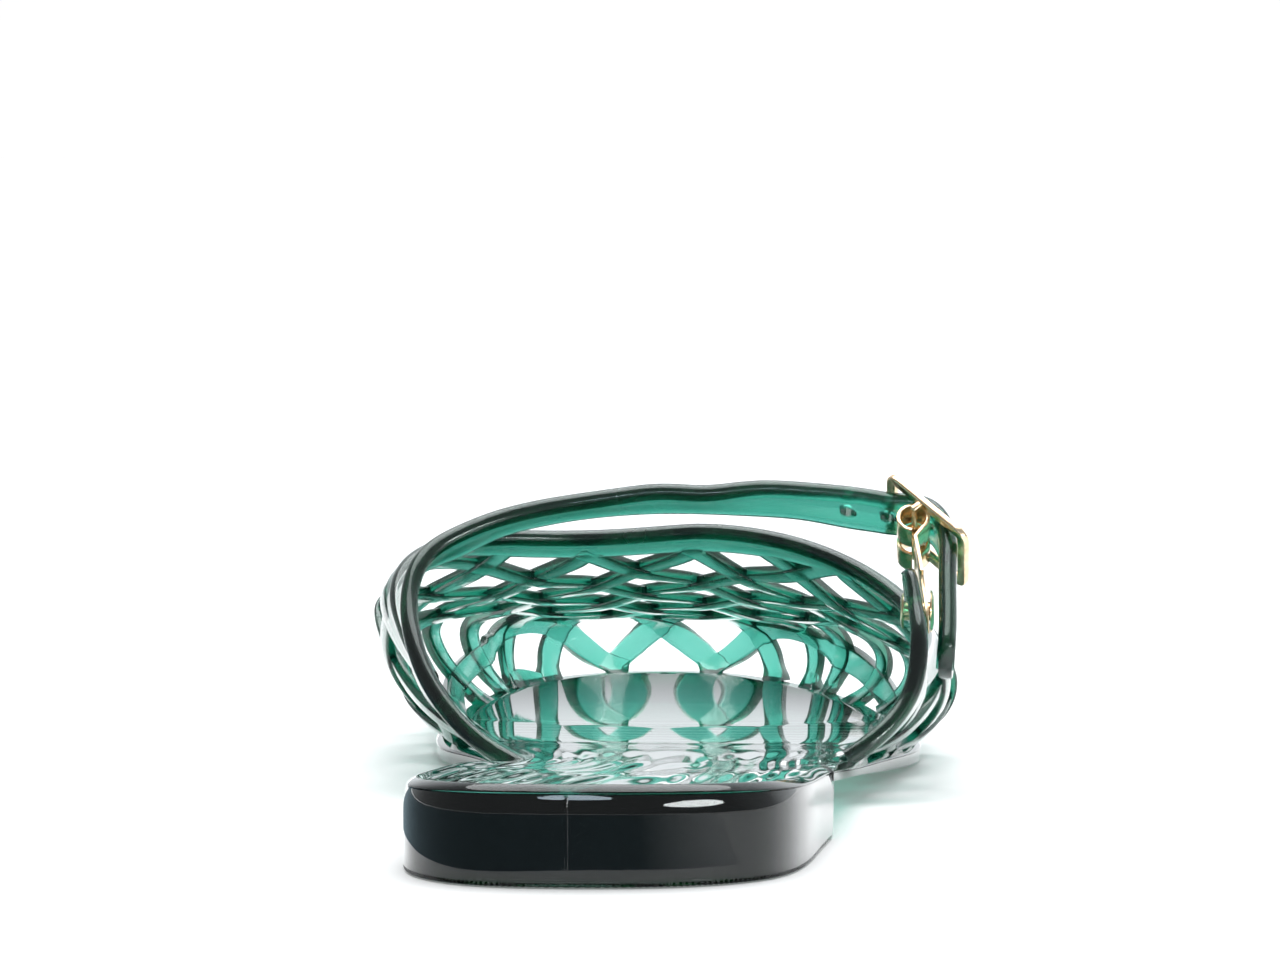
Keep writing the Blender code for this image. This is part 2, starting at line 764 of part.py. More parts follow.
def flat_edges(rows, width, count, left):
    """Rear and front flattened edges of a band, from a table of its rear edge."""
    table = chord_table(rows)
    rear = curve(table, np.linspace(0.0, table[-1, 0], count))
    along = np.gradient(rear, axis=0)
    along /= np.linalg.norm(along, axis=1)[:, None]
    turn = np.column_stack([-along[:, 1], along[:, 0]]) * (1.0 if left else -1.0)
    return rear, rear + width * turn


STRAP_W = np.array((0.0, math.cos(math.radians(STRAP_LEAN)), -math.sin(math.radians(STRAP_LEAN))))
STRAP_T = np.array((0.0, math.sin(math.radians(STRAP_LEAN)), math.cos(math.radians(STRAP_LEAN))))
STRAP_X = np.array((1.0, 0.0, 0.0))


def in_strap_plane(x, t, a):
    """Point from its x, its height along the hanging strap and its place across the strap."""
    x, t, a = (np.asarray(v, float)[..., None] for v in (x, t, a))
    return x * STRAP_X + t * STRAP_T + a * STRAP_W


def resample(points, count):
    table = chord_table(points)
    return curve(table, np.linspace(0.0, table[-1, 0], count))


def strap_mesh():
    """Medial band, strap over the instep and tail behind the buckle, as one ribbon."""
    rear_flat, front_flat = flat_edges(STRAP_REAR_FLAT, STRAP_WIDTH, STRAP_FLAT_STATIONS, True)
    rear_flat[0], front_flat[0] = snap_to_landing(np.array([rear_flat[0], front_flat[0]]))
    rear, front = wall(rear_flat)[0], wall(front_flat)[0]
    sink = ease(rear[:, 0], *SINK_FROM) * (1 - ease(rear[:, 0], *SINK_TO))
    rear[:, 2] -= STRAP_SINK * sink
    x, t = np.array(STRAP_RUN).T
    rear_run = in_strap_plane(x, t, STRAP_A + 0 * x)
    front_run = in_strap_plane(x, t, STRAP_A + STRAP_WIDTH + 0 * x)
    rear = np.concatenate([rear, rear_run])
    front = np.concatenate([front, front_run])
    over = (rear[:, 0] > STRAP_FRONT[0][0]) & (rear[:, 0] < STRAP_FRONT[-1][0])
    bridge = over & (rear[:, 1] > STRAP_BRIDGE_Y)
    front[bridge] = np.column_stack([rear[bridge, 0], curve(STRAP_FRONT, rear[bridge, 0])])
    walked = chord_table((rear + front) / 2)[:, 0]
    at = np.linspace(0.0, walked[-1], STRAP_STATIONS)
    rear = curve(np.column_stack([walked, rear]), at)
    front = curve(np.column_stack([walked, front]), at)
    return ribbon(rear, front, 1.0, band_profile(STRAP_WIDTH))


def lateral_band_mesh():
    rear_flat, front_flat = flat_edges(LATERAL_REAR_FLAT, STRAP_WIDTH, LATERAL_FLAT_STATIONS, False)
    rear_flat[0], front_flat[0] = snap_to_landing(np.array([rear_flat[0], front_flat[0]]))
    rear, front = wall(rear_flat)[0], wall(front_flat)[0]
    x, t = np.array(TAB_RUN).T
    rear = np.concatenate([rear, in_strap_plane(x, t, TAB_A + 0 * x)])
    front = np.concatenate([front, in_strap_plane(x, t, TAB_A + STRAP_WIDTH + 0 * x)])
    walked = chord_table((rear + front) / 2)[:, 0]
    at = np.linspace(0.0, walked[-1], LATERAL_STATIONS)
    rear = curve(np.column_stack([walked, rear]), at)
    front = curve(np.column_stack([walked, front]), at)
    return ribbon(rear, front, -1.0, band_profile(STRAP_WIDTH))


def collar_mesh():
    bead, front = flat_edges(RIM_ROWS, COLLAR_FRONT, 40, True)
    rear = bead - (front - bead) / COLLAR_FRONT * BEAD / 2
    return ribbon(wall(rear)[0], wall(front)[0], 1.0, band_profile(COLLAR_FRONT + BEAD / 2))


# Sole


def side_x(side, y):
    edge = EDGE[side]
    return np.interp(y, edge[:, 1], edge[:, 0])


def sole_stations():
    """Rows of the sole from the heel to the toe, with a close pair at the breast of the heel."""
    heel_turn, toe_turn = np.linspace(0.0, math.pi / 2, 9), np.linspace(math.pi / 2, 0.0, 10)
    heel = HEEL_BACK[1] + HEEL_ROUND * (1 - np.cos(heel_turn))
    shank = np.linspace(heel[-1], BREAST_Y, 5)[1:]
    fore = np.linspace(BREAST_Y + BREAST_RUN, TOE_ROUND_Y, 20)
    toe = TOE_TIP[1] - (TOE_TIP[1] - TOE_ROUND_Y) * (1 - np.cos(toe_turn))[1:]
    return np.concatenate([heel, shank, fore, toe])


def sole_bottom(y):
    y = np.asarray(y, float)
    arch = ARCH_HEIGHT * (np.clip(FLAT_FROM - y, 0.0, None) / (FLAT_FROM - BREAST_Y)) ** ARCH_POWER
    spring = TOE_SPRING * (np.clip(y - FLAT_TO, 0.0, None) / (TOE_TIP[1] - FLAT_TO)) ** 2
    return np.where(y <= BREAST_Y + 0.01, 0.0, arch + spring)


def ease(at, low, high):
    t = np.clip((np.asarray(at, float) - low) / (high - low), 0.0, 1.0)
    return t * t * (3 - 2 * t)


def sole_mesh():
    y = sole_stations()
    count = len(y)
    lateral = np.column_stack([side_x("lateral", y), y])
    medial = np.column_stack([side_x("medial", y), y])
    ring = np.concatenate([lateral, medial[-2:0:-1]])
    ahead, behind = np.roll(ring, -1, axis=0), np.roll(ring, 1, axis=0)
    along = ahead - behind
    inward = np.column_stack([-along[:, 1], along[:, 0]])
    inward /= np.linalg.norm(inward, axis=1)[:, None]
    ring_y = ring[:, 1]
    top, bottom = edge_height(ring_y), sole_bottom(ring_y)
    heel_part = 1 - ease(ring_y, *HEEL_SHELF_RUN)
    lip = HEEL_LIP * heel_part
    shelf = FORE_SHELF + (HEEL_SHELF - FORE_SHELF) * heel_part
    level = 0 * top
    loops = (  # inset, z
        (level + TREAD_INSET, bottom),
        (level + 0.7 * EDGE_ROUND, bottom + 0.4 * EDGE_ROUND),
        (level, bottom + 1.3 * EDGE_ROUND),
        (level, top - GROOVE_DEPTH - GROOVE_HALF),
        (level + GROOVE, top - GROOVE_DEPTH),
        (level, top - GROOVE_DEPTH + GROOVE_HALF),
        (level, top - EDGE_ROUND),
        (level + EDGE_ROUND, top),
        (0.7 * shelf, top),
        (shelf, top - lip),
    )
    rings = [np.column_stack([ring + inward * inset[:, None], z]) for inset, z in loops]
    vertices, faces = loft(np.array(rings))
    vertices = [tuple(v) for v in vertices]
    faces = faces[:-2]
    size = len(ring)

    def fill(first, height, columns, flip):
        """Rows of vertices between the two sides of a ring, closing it."""
        rows = []
        for k in range(1, count - 1):
            left, right = vertices[first + size - k], vertices[first + k]
            row = [first + size - k]
            for share in np.linspace(0.0, 1.0, columns)[1:-1]:
                x = left[0] + (right[0] - left[0]) * share
                at = left[1] + (right[1] - left[1]) * share
                z = left[2] + (right[2] - left[2]) * share
                row.append(len(vertices))
                vertices.append((x, at, z - height(at, 2 * share - 1)))
            row.append(first + k)
            rows.append(row)
        found = []
        for one, two in zip(rows, rows[1:]):
            for a, b, c, d in zip(one, one[1:], two[1:], two):
                found.append((a, b, c, d))
        for end, row in ((first, rows[0]), (first + count - 1, rows[-1])):
            for a, b in zip(row, row[1:]):
                found.append((end, b, a) if end == first else (a, b, end))
        faces.extend([f[::-1] for f in found] if flip else found)

    def dish(at, v):
        depth = float(np.interp(at, *np.array(DISH).T))
        return depth * (1 - v * v) ** 2

    fill(0, lambda at, v: 0.0, 4, True)
    fill(size * (len(loops) - 1), dish, 9, False)
    return vertices, faces


# Buckle


def box(corner, edges):
    corner = np.asarray(corner, float)
    u, v, w = (np.asarray(e, float) for e in edges)
    ring = np.array([corner, corner + u, corner + u + v, corner + v])
    return loft(np.array([ring, ring + w]))


def rod(start, end, radius, sides=14):
    start, end = np.asarray(start, float), np.asarray(end, float)
    axis = (end - start) / np.linalg.norm(end - start)
    one = np.cross(axis, (0.3, 0.5, 0.81))
    one /= np.linalg.norm(one)
    two = np.cross(axis, one)
    turn = np.linspace(0.0, 2 * math.pi, sides, endpoint=False)
    ring = radius * (np.cos(turn)[:, None] * one + np.sin(turn)[:, None] * two)
    return loft(np.array([start + ring, end + ring]))


def turned(centre, axis, rows, sides=18):
    """Solid of revolution from rows of distance along the axis and radius, closed by its end rows."""
    axis = np.asarray(axis, float)
    one = np.cross(axis, (0.3, 0.5, 0.81))
    one /= np.linalg.norm(one)
    two = np.cross(axis, one)
    turn = np.linspace(0.0, 2 * math.pi, sides, endpoint=False)
    spoke = np.cos(turn)[:, None] * one + np.sin(turn)[:, None] * two
    return loft(np.array([np.asarray(centre) + axis * d + spoke * r for d, r in rows]))


def tube(path, radius, sides=8):
    """Round bar along a path in the strap plane at one place across it."""
    path = np.asarray(path, float)
    along = np.gradient(path, axis=0)
    along /= np.linalg.norm(along, axis=1)[:, None]
    side = np.cross(along, STRAP_W)
    side /= np.linalg.norm(side, axis=1)[:, None]
    turn = np.linspace(0.0, 2 * math.pi, sides, endpoint=False)
    rings = []
    for p, s in zip(path, side):
        rings.append(p + radius * (np.cos(turn)[:, None] * s + np.sin(turn)[:, None] * STRAP_W))
    return loft(np.array(rings))


def frame_ring():
    """Rounded rectangle of the buckle frame as a closed bar."""
    start, end = np.array(FRAME_START), np.array(FRAME_END)
    run = (end - start) / np.linalg.norm(end - start)
    length = np.linalg.norm(end - start)
    out = np.array((-run[1], run[0]))
    width = FRAME_FAR_A - FRAME_NEAR_A
    half_l, half_w, r = length / 2, width / 2, FRAME_CORNER
    path = []
    for cu, cw, first in ((1, 1, 0.0), (-1, 1, 90.0), (-1, -1, 180.0), (1, -1, 270.0)):
        for angle in np.radians(np.linspace(first, first + 90.0, 5)):
            u = cu * (half_l - r) + r * math.cos(angle)
            w = cw * (half_w - r) + r * math.sin(angle)
            path.append((u, w))
    path = np.array(path)
    along = np.roll(path, -1, axis=0) - np.roll(path, 1, axis=0)
    along /= np.linalg.norm(along, axis=1)[:, None]
    side = np.column_stack([along[:, 1], -along[:, 0]])
    turn = np.linspace(0.0, 2 * math.pi, 8, endpoint=False) + math.pi / 8
    rings = []
    for p, s in zip(path, side):
        u = p[0] + s[0] * FRAME_BAR_WIDE * np.cos(turn)
        w = p[1] + s[1] * FRAME_BAR_WIDE * np.cos(turn)
        h = FRAME_BAR_THICK * np.sin(turn)
        xt = (start + end) / 2 + u[:, None] * run + h[:, None] * out
        rings.append(in_strap_plane(xt[:, 0], xt[:, 1], (FRAME_NEAR_A + FRAME_FAR_A) / 2 + w))
    return loft(np.array(rings), closed=True)


def clip_profile():
    """Rolled end and plate of the clip, as one outline of x and height along the strap."""
    centre = np.array(KNUCKLE_CENTRE)
    outer, inner = KNUCKLE_OUTER, KNUCKLE_OUTER - CLIP_THICK
    sweep = np.radians(np.linspace(*CLIP_ROLL, 14))
    outside = [centre + outer * np.array((math.cos(a), math.sin(a))) for a in sweep]
    inside = [centre + inner * np.array((math.cos(a), math.sin(a))) for a in sweep[::-1]]
    half = np.array((CLIP_THICK / 2, 0.0))
    plate = [np.array(p) for p in CLIP_PLATE]
    return np.array([p + half for p in plate[::-1]] + outside + inside + [p - half for p in plate])


def upper():
    weave = new_object("upper", *weave_mesh(build_weave()), EMERALD, 0.15)
    bands = {"collar": collar_mesh(), "strap": strap_mesh(), "lateral band": lateral_band_mesh()}
    for name, mesh in bands.items():
        combine(weave, new_object(f"tool {name}", *mesh, EMERALD), "UNION")
    middle_a = STRAP_A + STRAP_WIDTH / 2
    bores = [rod(*(in_strap_plane(x, t, middle_a) for t in HOLE_HEIGHTS), HOLE_RADIUS) for x in FREE_HOLES]
    prong_a = sum(PRONG_A) / 2
    bores.append(rod(*(in_strap_plane(*end, prong_a) for end in PRONG_HOLE), HOLE_RADIUS))
    bores.append(rod(*(in_strap_plane(x, *RIVET_PLACE) for x in TAB_BORE), RIVET_HOLE))
    for number, mesh in enumerate(bores):
        combine(weave, new_object(f"tool bore {number}", *mesh, EMERALD), "DIFFERENCE")
    return weave


def buckle_frame():
    frame = new_object("buckle_frame", *frame_ring(), GOLD, 0.15, 1.0)
    start, end = np.array(FRAME_START), np.array(FRAME_END)
    run = (end - start) / np.linalg.norm(end - start)
    out = np.array((-run[1], run[0]))
    centre = np.array(BAR_CENTRE)
    rise = float((start - centre) @ out)
    corner = centre - run * BAR_RADIUS * 1.1 - out * BAR_RADIUS
    run_3d, out_3d = in_strap_plane(*run, 0.0), in_strap_plane(*out, 0.0)
    for a in (FRAME_NEAR_A - LUG_THICK / 2, FRAME_FAR_A - LUG_THICK / 2):
        edges = (run_3d * BAR_RADIUS * 2.2, out_3d * (rise + BAR_RADIUS), STRAP_W * LUG_THICK)
        lug = box(in_strap_plane(*corner, a), edges)
        combine(frame, new_object("tool lug", *lug, GOLD), "UNION")
    ends = [in_strap_plane(*centre, a) for a in (FRAME_NEAR_A, FRAME_FAR_A)]
    combine(frame, new_object("tool bar", *rod(*ends, BAR_RADIUS), GOLD), "UNION")


def buckle_clip():
    profile = clip_profile()
    rings = [in_strap_plane(profile[:, 0], profile[:, 1], a + 0 * profile[:, 0]) for a in CLIP_A]
    clip = new_object("buckle_clip", *loft(np.array(rings)), GOLD, 0.15, 1.0)
    x, t = KNUCKLE_CENTRE
    reach = KNUCKLE_OUTER + 0.6
    foot_z = CLIP_PLATE[-1][1] - 1.0
    foot_rise = CLIP_FOOT_TOP - foot_z
    cuts = (
        ((x - reach, t - reach, CLIP_GAP_A[0]), (2 * reach, 2 * reach, CLIP_GAP_A[1] - CLIP_GAP_A[0])),
        ((x, foot_z, CLIP_A[0] - 2.0), (6.0, foot_rise, CLIP_FOOT_A[0] - CLIP_A[0] + 2.0)),
        ((x, foot_z, CLIP_FOOT_A[1]), (6.0, foot_rise, CLIP_A[1] - CLIP_FOOT_A[1] + 2.0)),
    )
    for corner, (wide, high, deep) in cuts:
        cut = box(in_strap_plane(*corner), (STRAP_X * wide, STRAP_T * high, STRAP_W * deep))
        combine(clip, new_object("tool clip cut", *cut, GOLD), "DIFFERENCE")
    bore = rod(*(in_strap_plane(x_end, *RIVET_PLACE) for x_end in CLIP_BORE), RIVET_HOLE)
    combine(clip, new_object("tool rivet bore", *bore, GOLD), "DIFFERENCE")


def buckle_prong():
    inner, outer = PRONG_RING
    turn = np.linspace(0.0, 2 * math.pi, 18, endpoint=False)
    x, t = BAR_CENTRE
    rings = []
    for angle in turn:
        section = ((inner, PRONG_A[0]), (outer, PRONG_A[0]), (outer, PRONG_A[1]), (inner, PRONG_A[1]))
        c, s = math.cos(angle), math.sin(angle)
        rings.append([in_strap_plane(x + r * c, t + r * s, a) for r, a in section])
    prong = new_object("buckle_prong", *loft(np.array(rings), closed=True), GOLD, 0.15, 1.0)
    path = resample(PRONG_PATH, 13)
    arm = tube(in_strap_plane(path[:, 0], path[:, 1], sum(PRONG_A) / 2 + 0 * path[:, 0]), PRONG_RADIUS)
    combine(prong, new_object("tool arm", *arm, GOLD), "UNION")


def rivet():
    centre = in_strap_plane(0.0, *RIVET_PLACE)
    new_object("rivet", *turned(centre, STRAP_X, RIVET_ROWS), GOLD, 0.15, 1.0)


upper()
new_object("sole", *sole_mesh(), DARK_EMERALD, 0.12)
buckle_frame()
buckle_clip()
buckle_prong()
rivet()
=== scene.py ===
"""Looks of a right-foot jelly mule: clear emerald moulded plastic with a gold buckle, on a pale floor.

Sizes are in millimetres, with +Y to the toe, +X to the outer (lateral) side of the right foot and the
floor at z = 0.  They become metres when a mesh is made.
"""

import math

import bpy
import bmesh
import numpy as np
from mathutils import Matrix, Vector


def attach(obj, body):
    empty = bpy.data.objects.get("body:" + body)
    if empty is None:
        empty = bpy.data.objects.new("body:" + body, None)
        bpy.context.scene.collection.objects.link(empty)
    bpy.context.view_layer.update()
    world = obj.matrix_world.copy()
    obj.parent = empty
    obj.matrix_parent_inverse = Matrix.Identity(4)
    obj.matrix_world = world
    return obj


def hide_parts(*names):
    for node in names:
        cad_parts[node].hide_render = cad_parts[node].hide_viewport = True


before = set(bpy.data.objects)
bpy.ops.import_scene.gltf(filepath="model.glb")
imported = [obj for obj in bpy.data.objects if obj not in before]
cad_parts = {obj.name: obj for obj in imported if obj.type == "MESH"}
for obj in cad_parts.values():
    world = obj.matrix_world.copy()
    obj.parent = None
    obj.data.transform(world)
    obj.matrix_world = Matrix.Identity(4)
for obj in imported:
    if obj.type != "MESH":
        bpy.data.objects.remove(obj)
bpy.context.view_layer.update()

MM = 0.001

# Sole: plan of its edge, as the inner and outer x at each y, closed by one point at the heel and the toe
HEEL_BACK = (-4.5, -30.9)
TOE_TIP = (-0.5, 217.6)
SOLE_PLAN = (  # y, medial x, lateral x
    (-27.6, -20.6, 14.6), (-20.0, -27.3, 24.3), (-8.0, -30.1, 28.9), (10.0, -29.4, 31.0),
    (35.0, -26.0, 33.3), (65.0, -22.9, 35.3), (92.0, -26.8, 39.3), (117.0, -34.4, 44.0),
    (137.0, -37.8, 45.6), (157.0, -38.6, 43.2), (178.0, -36.6, 37.8), (196.0, -31.7, 29.6),
    (209.0, -23.4, 18.9), (215.4, -13.2, 9.6),
)
EDGE_HEIGHT = (  # y, z of the top edge of the sole
    (-31.0, 14.8), (-6.0, 13.2), (10.0, 12.1), (27.0, 11.1), (62.0, 7.6), (85.0, 5.8), (105.0, 4.6),
    (122.0, 3.6), (140.0, 3.1), (165.0, 3.3), (190.0, 4.5), (218.0, 6.5),
)

# Last: the inside of the upper, as sections that fan from the sole's edge to a spine line
SECTION_START_Y = 60.0  # y of the sole's edge where the first section stands
LANDING_GAP = 0.3  # between the sole and whatever lands on it
SPINE = (  # y, x and z of the top line
    (55.0, 3.0, 53.0), (80.0, 4.4, 51.5), (100.0, 5.4, 47.5), (110.0, 5.8, 44.6),
    (118.0, 6.0, 42.2), (130.0, 5.7, 36.9), (139.0, 5.2, 32.9), (156.0, 4.0, 27.6),
    (174.0, 1.5, 23.2), (193.0, -0.8, 19.4), (200.0, -1.2, 18.4),
)
SPINE_REACH = (  # share of the way to the toe, y on the spine
    (0.0, 60.0), (0.25, 98.0), (0.5, 136.0), (0.75, 170.0), (1.0, 193.0),
)
# Share of the way to the toe, landing inset from the sole's edge, bulge past it, height share of the widest
# point and fullness
MEDIAL_SECTION = (
    (0.0, 6.0, 19.2, 0.50, 2.1), (0.3, 4.4, 14.6, 0.56, 1.9), (0.5, 3.6, 11.4, 0.57, 1.9),
    (0.75, 3.2, 6.0, 0.50, 2.2), (1.0, 3.0, 2.4, 0.35, 2.7),
)
LATERAL_SECTION = (
    (0.0, 4.4, 12.4, 0.36, 1.9), (0.3, 3.8, 9.4, 0.28, 1.6), (0.5, 3.4, 6.6, 0.26, 1.65),
    (0.75, 3.2, 4.2, 0.32, 2.0), (1.0, 3.0, 2.4, 0.35, 2.7),
)

# Flat pattern: places on the upper are measured on its wall laid flat, from the spine line outwards
WEAVE_CENTRE = (-3.0, 216.5)  # crossing nearest the toe
WEAVE_HALF_WIDTH = 9.2  # half the spacing of crossings across the foot
WEAVE_HALF_LENGTH = 11.75  # half the spacing of crossings along the foot
WEAVE_BEND = 0.5  # how the rows of crossings curve to the toe
BEND_EASE = 0.02  # how that curve flattens out to the sides
BEND_FADE = 10.0  # crossings from the toe over which that curve is lost
TOE_DIP = 1.7  # how the rows next to the toe curve back instead
DIP_EASE = 0.05  # how that dip flattens out to the sides
DIP_FADE = 0.58  # how fast it is lost away from the toe
TOE_SPREAD = 0.45  # how much wider the strips stand where they land at the toe
SPREAD_EASE = 0.25  # how that is lost to the sides
TOE_PULL = 0.36  # how much shorter they are there
WEAVE_REACH = 9  # strips each way from the middle
STRIPS = range(-WEAVE_REACH, WEAVE_REACH + 1)
STRIP_SHARE = 0.145  # half the width of a strip, as a share of the spacing of strips
STRIP_THICK = 2.4
STRIP_SWAY = 0.3  # how far a strip rises over, or dives under, the one it crosses
STRIP_MIDDLE = 0.9  # middle of the weave above the inside of the last
CROSSING_IN_RIM = 2.3  # least distance of a crossing in front of the bead of the collar
CROSSING_IN_LANDING = -2.2  # least height of a crossing above the landing
LANDING_SNAP = 2.0  # a strip whose last crossing is this close to the landing ends there
CUT_BLEND = 5.0  # height over which the wall turns from square to level at its landing
LEAST_LEVEL = 0.2  # keeps a level cut from running out where the wall is nearly flat
STRIP_END_RIM = 2.6  # where a strip ends inside the collar

BAND_THICK = 2.2
BEAD = 3.0  # diameter of the bead along the rear edge of the collar, the bands and the strap
COLLAR_FRONT = 6.3  # collar in front of its bead
RIM_ROWS = (  # flattened x and y of the bead of the collar
    (-57.0, 83.0), (-53.0, 93.0), (-47.0, 103.0), (-39.0, 113.0), (-30.0, 121.0), (-20.0, 126.5),
    (-8.0, 129.0), (5.0, 128.0), (17.0, 125.0), (29.0, 121.5), (40.0, 117.0), (49.0, 109.5),
    (54.5, 99.0), (57.0, 86.0),
)
MEDIAL_BAND_MIDDLE = ((-84.0, 77.0), (-75.0, 77.5), (-66.0, 80.5))
LATERAL_BAND_MIDDLE = ((63.5, 82.5), (70.0, 78.5), (84.0, 77.0))
RIM_LINE = np.array(MEDIAL_BAND_MIDDLE + RIM_ROWS + LATERAL_BAND_MIDDLE)

# Strap: rear edge on the flattened wall, then off the last to the buckle and down to its tail
STRAP_WIDTH = 10.2
STRAP_REAR_FLAT = (
    (-76.0, 72.0), (-69.0, 74.0), (-62.0, 76.0), (-55.0, 79.0), (-50.0, 82.0), (-46.0, 85.0),
    (-38.0, 91.0), (-25.0, 97.0), (-12.0, 99.5), (0.0, 100.0), (10.0, 100.0),
)
STRAP_SINK = 0.9  # how much the strap sags on the medial side of the instep
SINK_FROM, SINK_TO = (-40.0, -22.0), (-12.0, 10.0)  # x over which the sag comes and goes
STRAP_FRONT = (  # x, y and z of the front edge of the strap where it bridges the instep
    (-34.2, 101.3, 34.0), (-29.2, 104.0, 37.2), (-17.8, 107.0, 41.2), (-4.5, 108.5, 43.0),
    (8.8, 108.8, 43.3), (18.0, 108.6, 42.9), (26.0, 108.2, 42.3), (32.0, 107.8, 41.6),
)
STRAP_LEAN = 39.5  # degrees that the strap leans back at the buckle
STRAP_A = 46.8  # rear edge of the hanging strap across the buckle
STRAP_RUN = (  # x and height of the inner face, past the instep
    (18.0, 100.8), (26.0, 100.7), (34.0, 100.0), (38.0, 99.3), (41.0, 98.8), (44.1, 98.6),
    (46.6, 97.6), (48.1, 95.5), (48.9, 92.6), (49.0, 88.0), (49.0, 80.0), (48.9, 72.0),
    (48.6, 67.0),
)
STRAP_FLAT_STATIONS = 14
STRAP_BRIDGE_Y = 88.0  # behind this the strap still lies on the last
HOLE_RADIUS = 1.4
HOLE_HEIGHTS = (94.0, 105.0)  # heights between which a hole is cut
FREE_HOLES = (33.6, 40.3)  # x of the strap's holes that are not in use

# Lateral band, which ends in a tab under the tail of the strap
LATERAL_REAR_FLAT = (
    (76.0, 72.0), (70.0, 73.0), (66.0, 75.0), (62.0, 77.0), (58.0, 78.5),
)
TAB_A = 44.4
LATERAL_FLAT_STATIONS = 9
TAB_RUN = (
    (44.4, 70.3), (43.9, 76.5), (43.0, 82.8), (42.3, 85.6),
)

# Sole: heel, arch, toe spring and the ledges of its edge
BREAST_Y = 27.6
BREAST_RUN = 1.6
ARCH_HEIGHT = 8.6
ARCH_POWER = 1.25
FLAT_FROM = 130.0
FLAT_TO = 165.0
TOE_SPRING = 2.6
HEEL_ROUND = 26.0  # length of the round of the heel in plan
TOE_ROUND_Y = 190.0  # where the round of the toe begins in plan
GROOVE_DEPTH = 1.25  # depth of the crease below the top edge
TREAD_INSET = 1.2
HEEL_LIP = 0.7  # how far the seat of the heel lies below its lip
HEEL_SHELF, FORE_SHELF = 2.8, 4.6  # level edge round the footbed
HEEL_SHELF_RUN = (40.0, 75.0)  # y over which one becomes the other
DISH = (  # y, hollow of the footbed
    (-30.0, 1.2), (0.0, 1.2), (60.0, 0.8), (110.0, 0.3), (215.0, 0.2),
)

# Buckle, in the plane of the hanging strap: x and height, and a place across it
FRAME_START = (40.9, 102.6)
FRAME_END = (52.6, 90.9)
FRAME_NEAR_A = 45.3
FRAME_FAR_A = 58.8
FRAME_CORNER = 1.5
FRAME_BAR_WIDE = 0.95
FRAME_BAR_THICK = 0.62
BAR_CENTRE = (44.55, 96.25)
BAR_RADIUS = 0.5
LUG_THICK = 1.2
KNUCKLE_CENTRE = (44.4, 95.2)
KNUCKLE_OUTER = 2.35
CLIP_THICK = 0.6
CLIP_A = (46.1, 57.7)
CLIP_GAP_A = (50.8, 53.0)
CLIP_PLATE = ((44.8, 91.6), (45.95, 84.0), (46.85, 76.4))  # middle of the plate below the knuckles
CLIP_FOOT_A = (47.2, 52.4)  # the foot of the plate is narrower, clear of the collar
CLIP_FOOT_TOP = 84.5
PRONG_A = (51.0, 52.8)
PRONG_RING = (0.8, 1.4)
PRONG_RADIUS = 0.65
PRONG_PATH = (
    (45.6, 96.5), (47.3, 97.5), (49.3, 98.5), (50.8, 97.6), (51.8, 95.6), (52.3, 93.7),
    (52.4, 92.7),
)
PRONG_HOLE = ((45.3, 96.4), (51.3, 99.4))  # axis of the strap's hole in use
RIVET_PLACE = (79.2, 50.0)  # height and place across the strap
RIVET_ROWS = (  # x, radius
    (42.4, 2.0), (42.65, 2.8), (42.95, 3.0), (42.95, 1.5), (47.25, 1.5), (47.25, 3.5), (47.6, 3.3),
    (47.9, 2.2),
)
RIVET_HOLE = 1.8
TAB_BORE = (41.0, 47.2)  # x between which the rivet's hole is cut in the tab
CLIP_BORE = (45.0, 49.0)  # and in the clip

# Finish of the moulded plastic: rounding of edges and fineness of the meshes
WELD_DEPTH = 1.8  # how far the upper runs into the sole
STRIP_CORNER = 0.4
STRIP_SKIN = 0.28  # how far each face of a strip lies inside that of the CAD
STRIP_HALF_WIDE = 2.2
STRIP_CROWN = 0.06
STRIP_WIDE, WIDTH_LIMITS = 4.1, (0.7, 1.25)  # even width of a strip, least and most change to it
SWAY_FADE = 0.35  # share of the spacing over which a strip's end lies flat
FOOT_SPREAD, FOOT_RUN = 0.35, (0.0, 3.5)  # how much wider a strip's foot is, heights over which
STRIP_STEP, END_STEPS = 0.045, 160  # share of the spacing of crossings, tries for the end of a strip
CORNER_STEPS = 4
BAND_CORNER = 0.8
BAND_STEPS = 5
BEAD_STEPS = 18
COLLAR_STATIONS, STRAP_STATIONS, LATERAL_STATIONS = 170, 210, 80
TAIL_ROUND, TAIL_CLOSE = 3.6, 0.97  # length of a round end, share at which it stops
TAIL_TRIM = 1.6  # how much shorter the tail is than in the CAD
TAB_THIN, TAB_THIN_RUN = 0.3, (1.0, 18.0)
CREASE_DEGREES = 38.0
QUARTER = np.radians(np.linspace(0.0, 90.0, 6))
OUTLINE_STEPS, SECTION_STEPS, RIDGE_STEPS, KNUCKLE_STEPS, PRONG_STEPS = 2001, 241, 30, 60, 44
FRAME_CORNER_STEPS, PRONG_CORNER_STEPS, PRONG_SIDES, PLATE_STEPS = 12, 3, 48, 12
HEEL_STATIONS, SHANK_STATIONS, BREAST_STATIONS, FORE_STATIONS, TOE_STATIONS = 210, 60, 7, 110, 44
SOLE_CORNER = 0.3
FOOTBED_COLUMNS, TREAD_COLUMNS = 121, 12
SIDE_STEPS, SHOULDER_STEPS, SHELF_STEPS = 8, 15, 9
SHELF_FALL = (0.2, 1.0)  # shares of the shelf over which it falls to the footbed
SHOULDER_HIGH, SHOULDER_FORE = 3.8, 2.2  # upper part of the side, which leans in
SHOULDER_ROUND, SHOULDER_SHARE = 15.0, 0.7  # its radius, most of the side that it takes
SHOULDER_END = 0.97
